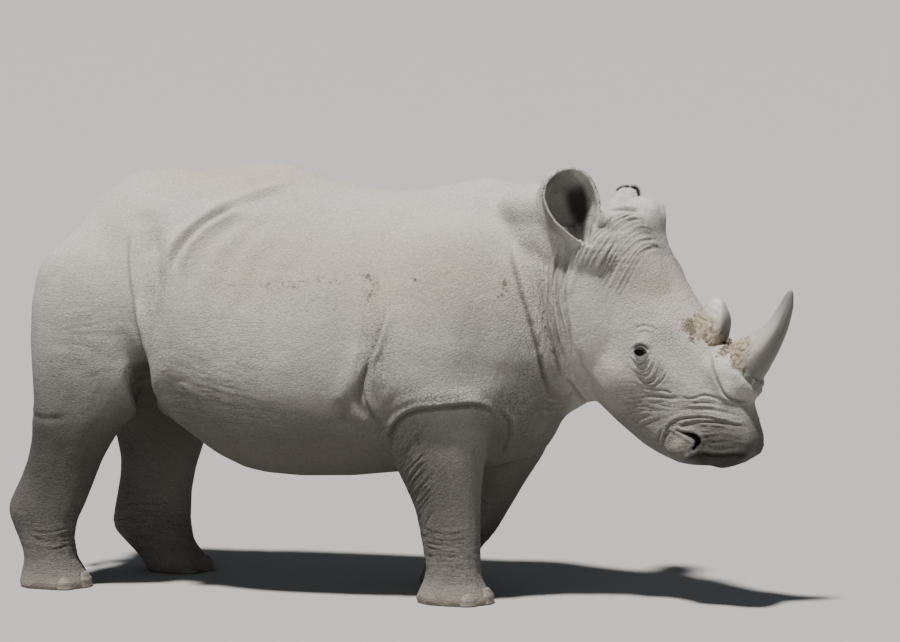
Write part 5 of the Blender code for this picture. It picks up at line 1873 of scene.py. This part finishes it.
def eye(name, node, side):
    centre = middle_of(node)
    look = (HEAD.to_3x3() @ Vector((0.10, side, 0.02))).normalized()
    bm = bmesh.new()
    bmesh.ops.create_uvsphere(bm, u_segments=64, v_segments=40, radius=EYE_RADIUS - EYE_GAP)
    for v in bm.verts:
        front = max(0.0, v.co.normalized().z - CORNEA_FROM) / CORNEA_SPAN
        v.co += v.co.normalized() * CORNEA_HEIGHT * front * front * (3 - 2 * front)
    turn = look.to_track_quat("Z", "Y").to_matrix().to_4x4()
    layer = bm.verts.layers.float.new("ring")
    for v in bm.verts:
        v[layer] = math.acos(max(-1.0, min(1.0, v.co.normalized().z))) / math.pi
    bmesh.ops.transform(bm, matrix=Matrix.Translation(centre) @ turn, verts=bm.verts)
    made = object_of(bm, name)
    made.data.shade_smooth()
    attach(made, "root")
    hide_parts(node)
    return made


def eye_finish():
    tree = Tree("eye")
    ring = tree.mark("ring")
    fibres = tree.noise(420.0, 3.0, 0.6)
    iris = tree.mix(fibres, IRIS_DARK, IRIS_LIGHT)
    colour = tree.mix(tree.ramp(ring, 0.105, 0.120), PUPIL, iris)
    colour = tree.mix(tree.ramp(ring, 0.235, 0.262), colour, BALL_BROWN)
    return tree.finish(colour, EYE_ROUGHNESS, gloss=EYE_GLOSS)


glossy = eye_finish()
for name, node, side in (("right_eye", "eye_right", -1), ("left_eye", "eye_left", 1)):
    dress(eye(name, node, side), glossy)
print("eyes look out to both sides")

# %% [markdown]
# ## Bristles
# A rhinoceros has little hair: a stiff fringe round its ears, lashes, and a tuft at the end of its tail.
# Strands could be hair curves, but a library part needs plain mesh. So one short spike is modelled, and
# Geometry Nodes sets a copy of it at every point of a small mesh of roots, turned the way that is kept on
# the root and a little by chance, and then makes the copies real.

# %% A spike
SPIKE_SIDES, SPIKE_STEPS = 4, 4


def spike():
    """A straight bristle, 1 long and 1 thick at its root."""
    bm = bmesh.new()
    loops = []
    for i in range(SPIKE_STEPS):
        t = i / SPIKE_STEPS
        thick = 0.5 * (1 - t) ** 0.7
        ring = []
        for k in range(SPIKE_SIDES):
            angle = 2 * math.pi * k / SPIKE_SIDES
            ring.append(bm.verts.new((thick * math.cos(angle), thick * math.sin(angle), t)))
        loops.append(ring)
    tip = bm.verts.new((0.0, 0.0, 1.0))
    for lower, upper in zip(loops, loops[1:]):
        for k in range(SPIKE_SIDES):
            n = (k + 1) % SPIKE_SIDES
            bm.faces.new((lower[k], lower[n], upper[n], upper[k]))
    for k in range(SPIKE_SIDES):
        bm.faces.new((loops[-1][k], loops[-1][(k + 1) % SPIKE_SIDES], tip))
    bm.faces.new(loops[0][::-1])
    return object_of(bm, "spike")


SPIKE = spike()
print("a bristle has", len(SPIKE.data.polygons), "faces")

# %% [markdown]
# ## The nodes that set bristles
# The tree turns the roots into points, sets the spike on each, turned to the way named "lie" and scaled by
# the number named "length", makes the copies real and gives them their finish.

# %% A node group that sets spikes on roots
def bristle_nodes():
    """A node group: mesh of roots in, bristles out. Each root keeps its own turn and length."""
    group = bpy.data.node_groups.new("bristles", "GeometryNodeTree")
    for name, kind in (
        ("Geometry", "Geometry"),
        ("Spike", "Object"),
        ("Thickness", "Float"),
        ("Stray", "Float"),
        ("Seed", "Int"),
        ("Finish", "Material"),
    ):
        group.interface.new_socket(name, in_out="INPUT", socket_type="NodeSocket" + kind)
    group.interface.new_socket("Geometry", in_out="OUTPUT", socket_type="NodeSocketGeometry")
    nodes, links = group.nodes, group.links

    def add(kind, **settings):
        made = nodes.new(kind)
        for key, value in settings.items():
            setattr(made, key, value)
        return made

    given = add("NodeGroupInput")
    result = add("NodeGroupOutput")
    info = add("GeometryNodeObjectInfo")
    points = add("GeometryNodeMeshToPoints")
    lie = add("GeometryNodeInputNamedAttribute", data_type="FLOAT_VECTOR")
    lie.inputs["Name"].default_value = "lie"
    length = add("GeometryNodeInputNamedAttribute", data_type="FLOAT")
    length.inputs["Name"].default_value = "length"
    chance = add("FunctionNodeRandomValue", data_type="FLOAT_VECTOR")
    spread = add("ShaderNodeVectorMath", operation="SCALE")
    centre = add("ShaderNodeVectorMath", operation="SUBTRACT")
    centre.inputs[1].default_value = (0.5, 0.5, 0.5)
    way = add("ShaderNodeVectorMath", operation="ADD")
    turn = add("FunctionNodeAlignRotationToVector", axis="Z")
    size = add("ShaderNodeCombineXYZ")
    place = add("GeometryNodeInstanceOnPoints")
    real = add("GeometryNodeRealizeInstances")
    dressed = add("GeometryNodeSetMaterial")
    for start, out, end, into in (
        (given, "Geometry", points, "Mesh"),
        (given, "Spike", info, "Object"),
        (given, "Seed", chance, "Seed"),
        (chance, "Value", centre, 0),
        (centre, 0, spread, 0),
        (given, "Stray", spread, "Scale"),
        (lie, "Attribute", way, 0),
        (spread, 0, way, 1),
        (way, 0, turn, "Vector"),
        (given, "Thickness", size, "X"),
        (given, "Thickness", size, "Y"),
        (length, "Attribute", size, "Z"),
        (points, "Points", place, "Points"),
        (info, "Geometry", place, "Instance"),
        (turn, "Rotation", place, "Rotation"),
        (size, "Vector", place, "Scale"),
        (place, "Instances", real, "Geometry"),
        (real, "Geometry", dressed, "Geometry"),
        (given, "Finish", dressed, "Material"),
        (dressed, "Geometry", result, "Geometry"),
    ):
        links.new(start.outputs[out], end.inputs[into])
    return group


BRISTLE_DARK, BRISTLE_LIGHT = (0.014, 0.011, 0.009, 1), (0.042, 0.034, 0.028, 1)
BRISTLE_ROUGHNESS = 0.6


def bristle_finish():
    tree = Tree("bristle")
    shade = tree.ramp(tree.noise(300.0, 2.0, 0.5), 0.35, 0.65)
    return tree.finish(tree.mix(shade, BRISTLE_DARK, BRISTLE_LIGHT), BRISTLE_ROUGHNESS)


BRISTLES = bristle_nodes()
BRISTLE_FINISH = bristle_finish()
print("bristles are set by", len(BRISTLES.nodes), "nodes")

# %% [markdown]
# ## Where bristles grow
# An ear's fringe follows its rim, worked out from the rings of the cup, and each root then moves to the
# nearest place on the skin. The lashes stand along the upper lids, and the tail's tuft grows from the end
# of the tail. Every root keeps its place, the way its bristle lies and its length.

# %% Where the roots are
Rim = namedtuple("Rim", "along half_width depth curl")
RIMS = (
    Rim(0.080, 0.106, 0.096, 108.0),
    Rim(0.130, 0.113, 0.092, 98.0),
    Rim(0.180, 0.109, 0.076, 90.0),
    Rim(0.218, 0.089, 0.052, 84.0),
    Rim(0.243, 0.056, 0.024, 78.0),
    Rim(0.254, 0.022, 0.016, 72.0),
)
Fringe = namedtuple("Fringe", "node count length outward forward upward spread")
FRINGES = (
    Fringe("ear_right", 420, 0.011, 0.7, 0.275, 0.0, 0.004),
    Fringe("ear_left", 1100, 0.024, 0.6, 0.05, 0.9, 0.006),
)
Root = namedtuple("Root", "place lie length")
FAR_EAR_TOP = [(0.800, 0.207, 1.588), (0.827, 0.215, 1.597), (0.851, 0.217, 1.597), (0.873, 0.223, 1.591)]
FAR_EAR_HAIRS = 240
TAIL_HAIRS = 500
TUFT_LENGTH = 0.13
LASHES = 90


def rim_curve(node):
    """The rim of an ear as an array, from the root of one edge over the tip to the root of the other."""
    foot, along, across, way = (np.array(v) for v in ear_axes(node))
    edges = []
    for side in (-1, 1):
        rows = curve_through([(r.along, r.half_width, r.depth, math.radians(r.curl)) for r in RIMS], 0.004)
        wide, deep = side * rows[:, 1] * np.sin(rows[:, 3]), -rows[:, 2] * np.cos(rows[:, 3])
        edges.append(foot + np.outer(rows[:, 0], along) + np.outer(wide, across) + np.outer(deep, way))
    return np.vstack([edges[0], edges[1][::-1]]), along, way


def rooted(place, lie, length, sink=0.002):
    """A root sunk a little into the skin, along the way that its bristle lies."""
    lie = lie / np.linalg.norm(lie)
    return Root(np.array(place) - sink * lie, lie, length)


def fringe_roots(fringe, tree, chance):
    """Roots along the rim of an ear, strayed a little from it by chance."""
    rim, along, way = rim_curve(fringe.node)
    middle = rim.mean(axis=0)
    gone = length_along(rim)
    roots = []
    for at in np.sort(chance.uniform(0.0, gone[-1], fringe.count)):
        spot = np.array([np.interp(at, gone, rim[:, axis]) for axis in range(3)])
        spot += chance.normal(0.0, fringe.spread, 3)
        place, facing, _, _ = tree.find_nearest(Vector(spot))
        outward = spot - middle
        outward /= np.linalg.norm(outward)
        lie = fringe.outward * outward + 0.35 * along + fringe.forward * way + 0.25 * np.array(facing)
        lie[2] += fringe.upward
        roots.append(rooted(place, lie, fringe.length * chance.uniform(0.5, 1.15)))
    return roots


def row_roots(tree, chance):
    """Roots along the top edge of the far ear, where the fringe stands up against the light."""
    path = curve_through(FAR_EAR_TOP, 0.002)
    roots = []
    for at in chance.integers(0, len(path), FAR_EAR_HAIRS):
        spot = path[at] + chance.normal(0.0, 0.003, 3)
        place, facing, _, _ = tree.find_nearest(Vector(spot))
        lie = np.array((0.1, 0.0, 1.0)) + 0.3 * np.array(facing)
        roots.append(rooted(place, lie, chance.uniform(0.009, 0.017)))
    return roots


def lash_roots(side, tree, chance):
    """Roots along the edge of an eye's upper lid. The lashes point out and a little down."""
    out = side * np.array(HEAD)[:3, 1]
    rise = np.array((0.0, 0.0, 1.0))
    level = np.cross(np.array(HEAD)[:3, 1], rise)
    centre = np.array(head_point(EYE_ALONG, side * EYE_OUT, EYE_UP))
    roots = []
    for share in chance.uniform(-0.85, 0.95, LASHES):
        lift = UPPER_LID * (1 - share**2) ** UPPER_ARCH + chance.uniform(0.001, 0.004)
        start = centre + share * EYE_HALF_LENGTH * level + lift * rise + 0.08 * out
        place = tree.ray_cast(Vector(start), Vector(-out))[0]
        lie = out - 0.45 * rise + 0.5 * share * level
        roots.append(rooted(place, lie, chance.uniform(0.010, 0.019), 0.001))
    return roots


def tail_roots(tree, chance):
    """Roots all round the end of the tail. Each is sunk straight in, as the hairs lie along the skin."""
    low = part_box("tail")[0]
    roots = []
    places = table_of(skin)
    near = places[(near_box(places, "tail", 0.002) > 0.9) & (places[:, 2] < low[2] + TUFT_LENGTH)]
    for at in chance.integers(0, len(near), TAIL_HAIRS):
        place, facing, _, _ = tree.find_nearest(Vector(near[at]))
        lie = np.array((0.05, 0.0, -1.0)) + 0.35 * np.array(facing)
        sunk = np.array(place) - 0.002 * np.array(facing)
        roots.append(Root(sunk, lie / np.linalg.norm(lie), chance.uniform(0.035, 0.085)))
    return roots


print(sum(fringe.count for fringe in FRINGES) + FAR_EAR_HAIRS + TAIL_HAIRS + 2 * LASHES, "bristles to grow")

# %% [markdown]
# ## Grow and map the tufts
# A piece starts as a mesh of bare roots that carry their way and length, and the node group turns it into
# bristles. The map is unrolled round the body's length, not seen from one side, so no two places share it.

# %% Grow the tufts
PATCH = 0.003  # the side of a bristle's patch on the map


def grown(name, roots, thickness, stray, seed):
    """A piece of bristles on the roots given."""
    mesh = bpy.data.meshes.new(name)
    mesh.from_pydata([tuple(root.place) for root in roots], [], [])
    lie = mesh.attributes.new("lie", "FLOAT_VECTOR", "POINT")
    lie.data.foreach_set("vector", np.array([root.lie for root in roots], np.float32).ravel())
    length = mesh.attributes.new("length", "FLOAT", "POINT")
    length.data.foreach_set("value", np.array([root.length for root in roots], np.float32))
    made = new_object(name, mesh)
    step = made.modifiers.new("grow", "NODES")
    step.node_group = BRISTLES
    sockets = {s.name: s.identifier for s in BRISTLES.interface.items_tree if s.in_out == "INPUT"}
    given = {"Spike": SPIKE, "Thickness": thickness, "Stray": stray, "Seed": seed, "Finish": BRISTLE_FINISH}
    for socket, value in given.items():
        step[sockets[socket]] = value
    made.update_tag()
    settle(made)
    map_tufts(made, roots)
    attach(made, "root")
    return made


def map_tufts(made, roots):
    """Lays each bristle as a small patch at its root's place on the unrolled skin."""
    per_spike = len(SPIKE.data.vertices)
    spots = np.array([root.place for root in roots])
    across = (spots[:, 0] - solid_box[0][0]) / (solid_box[1][0] - solid_box[0][0])
    height = 0.5 * (solid_box[0][2] + solid_box[1][2])
    around_body = np.arctan2(spots[:, 1], spots[:, 2] - height) / (2 * math.pi) + 0.5
    corners = np.empty(len(made.data.loops), int)
    made.data.loops.foreach_get("vertex_index", corners)
    local = table_of(SPIKE)
    which, spot = corners // per_spike, corners % per_spike
    u = across[which] + PATCH * local[spot, 0]
    v = around_body[which] + PATCH * (local[spot, 2] - 0.5)
    layer = made.data.uv_layers.new(name="OFBake")
    layer.data.foreach_set("uv", np.clip(np.column_stack((u, v)), 0.0, 1.0).ravel())


chance = np.random.default_rng(77)
tree = tree_of(skin)
plans = [(fringe.node + "_fringe", fringe_roots(fringe, tree, chance), 0.0011, 0.9, 5) for fringe in FRINGES]
for name, side in (("lashes_right", -1), ("lashes_left", 1)):
    plans.append((name, lash_roots(side, tree, chance), 0.0014, 0.35, 3))
plans.append(("ear_left_top_fringe", row_roots(tree, chance), 0.0011, 0.6, 4))
plans.append(("tail_tuft", tail_roots(tree, chance), 0.0016, 0.35, 9))
counts = {}
for plan in plans:
    tuft = grown(*plan)
    counts[tuft.name] = len(tuft.data.polygons)
bpy.data.objects.remove(SPIKE)
print("faces of bristles:", counts)
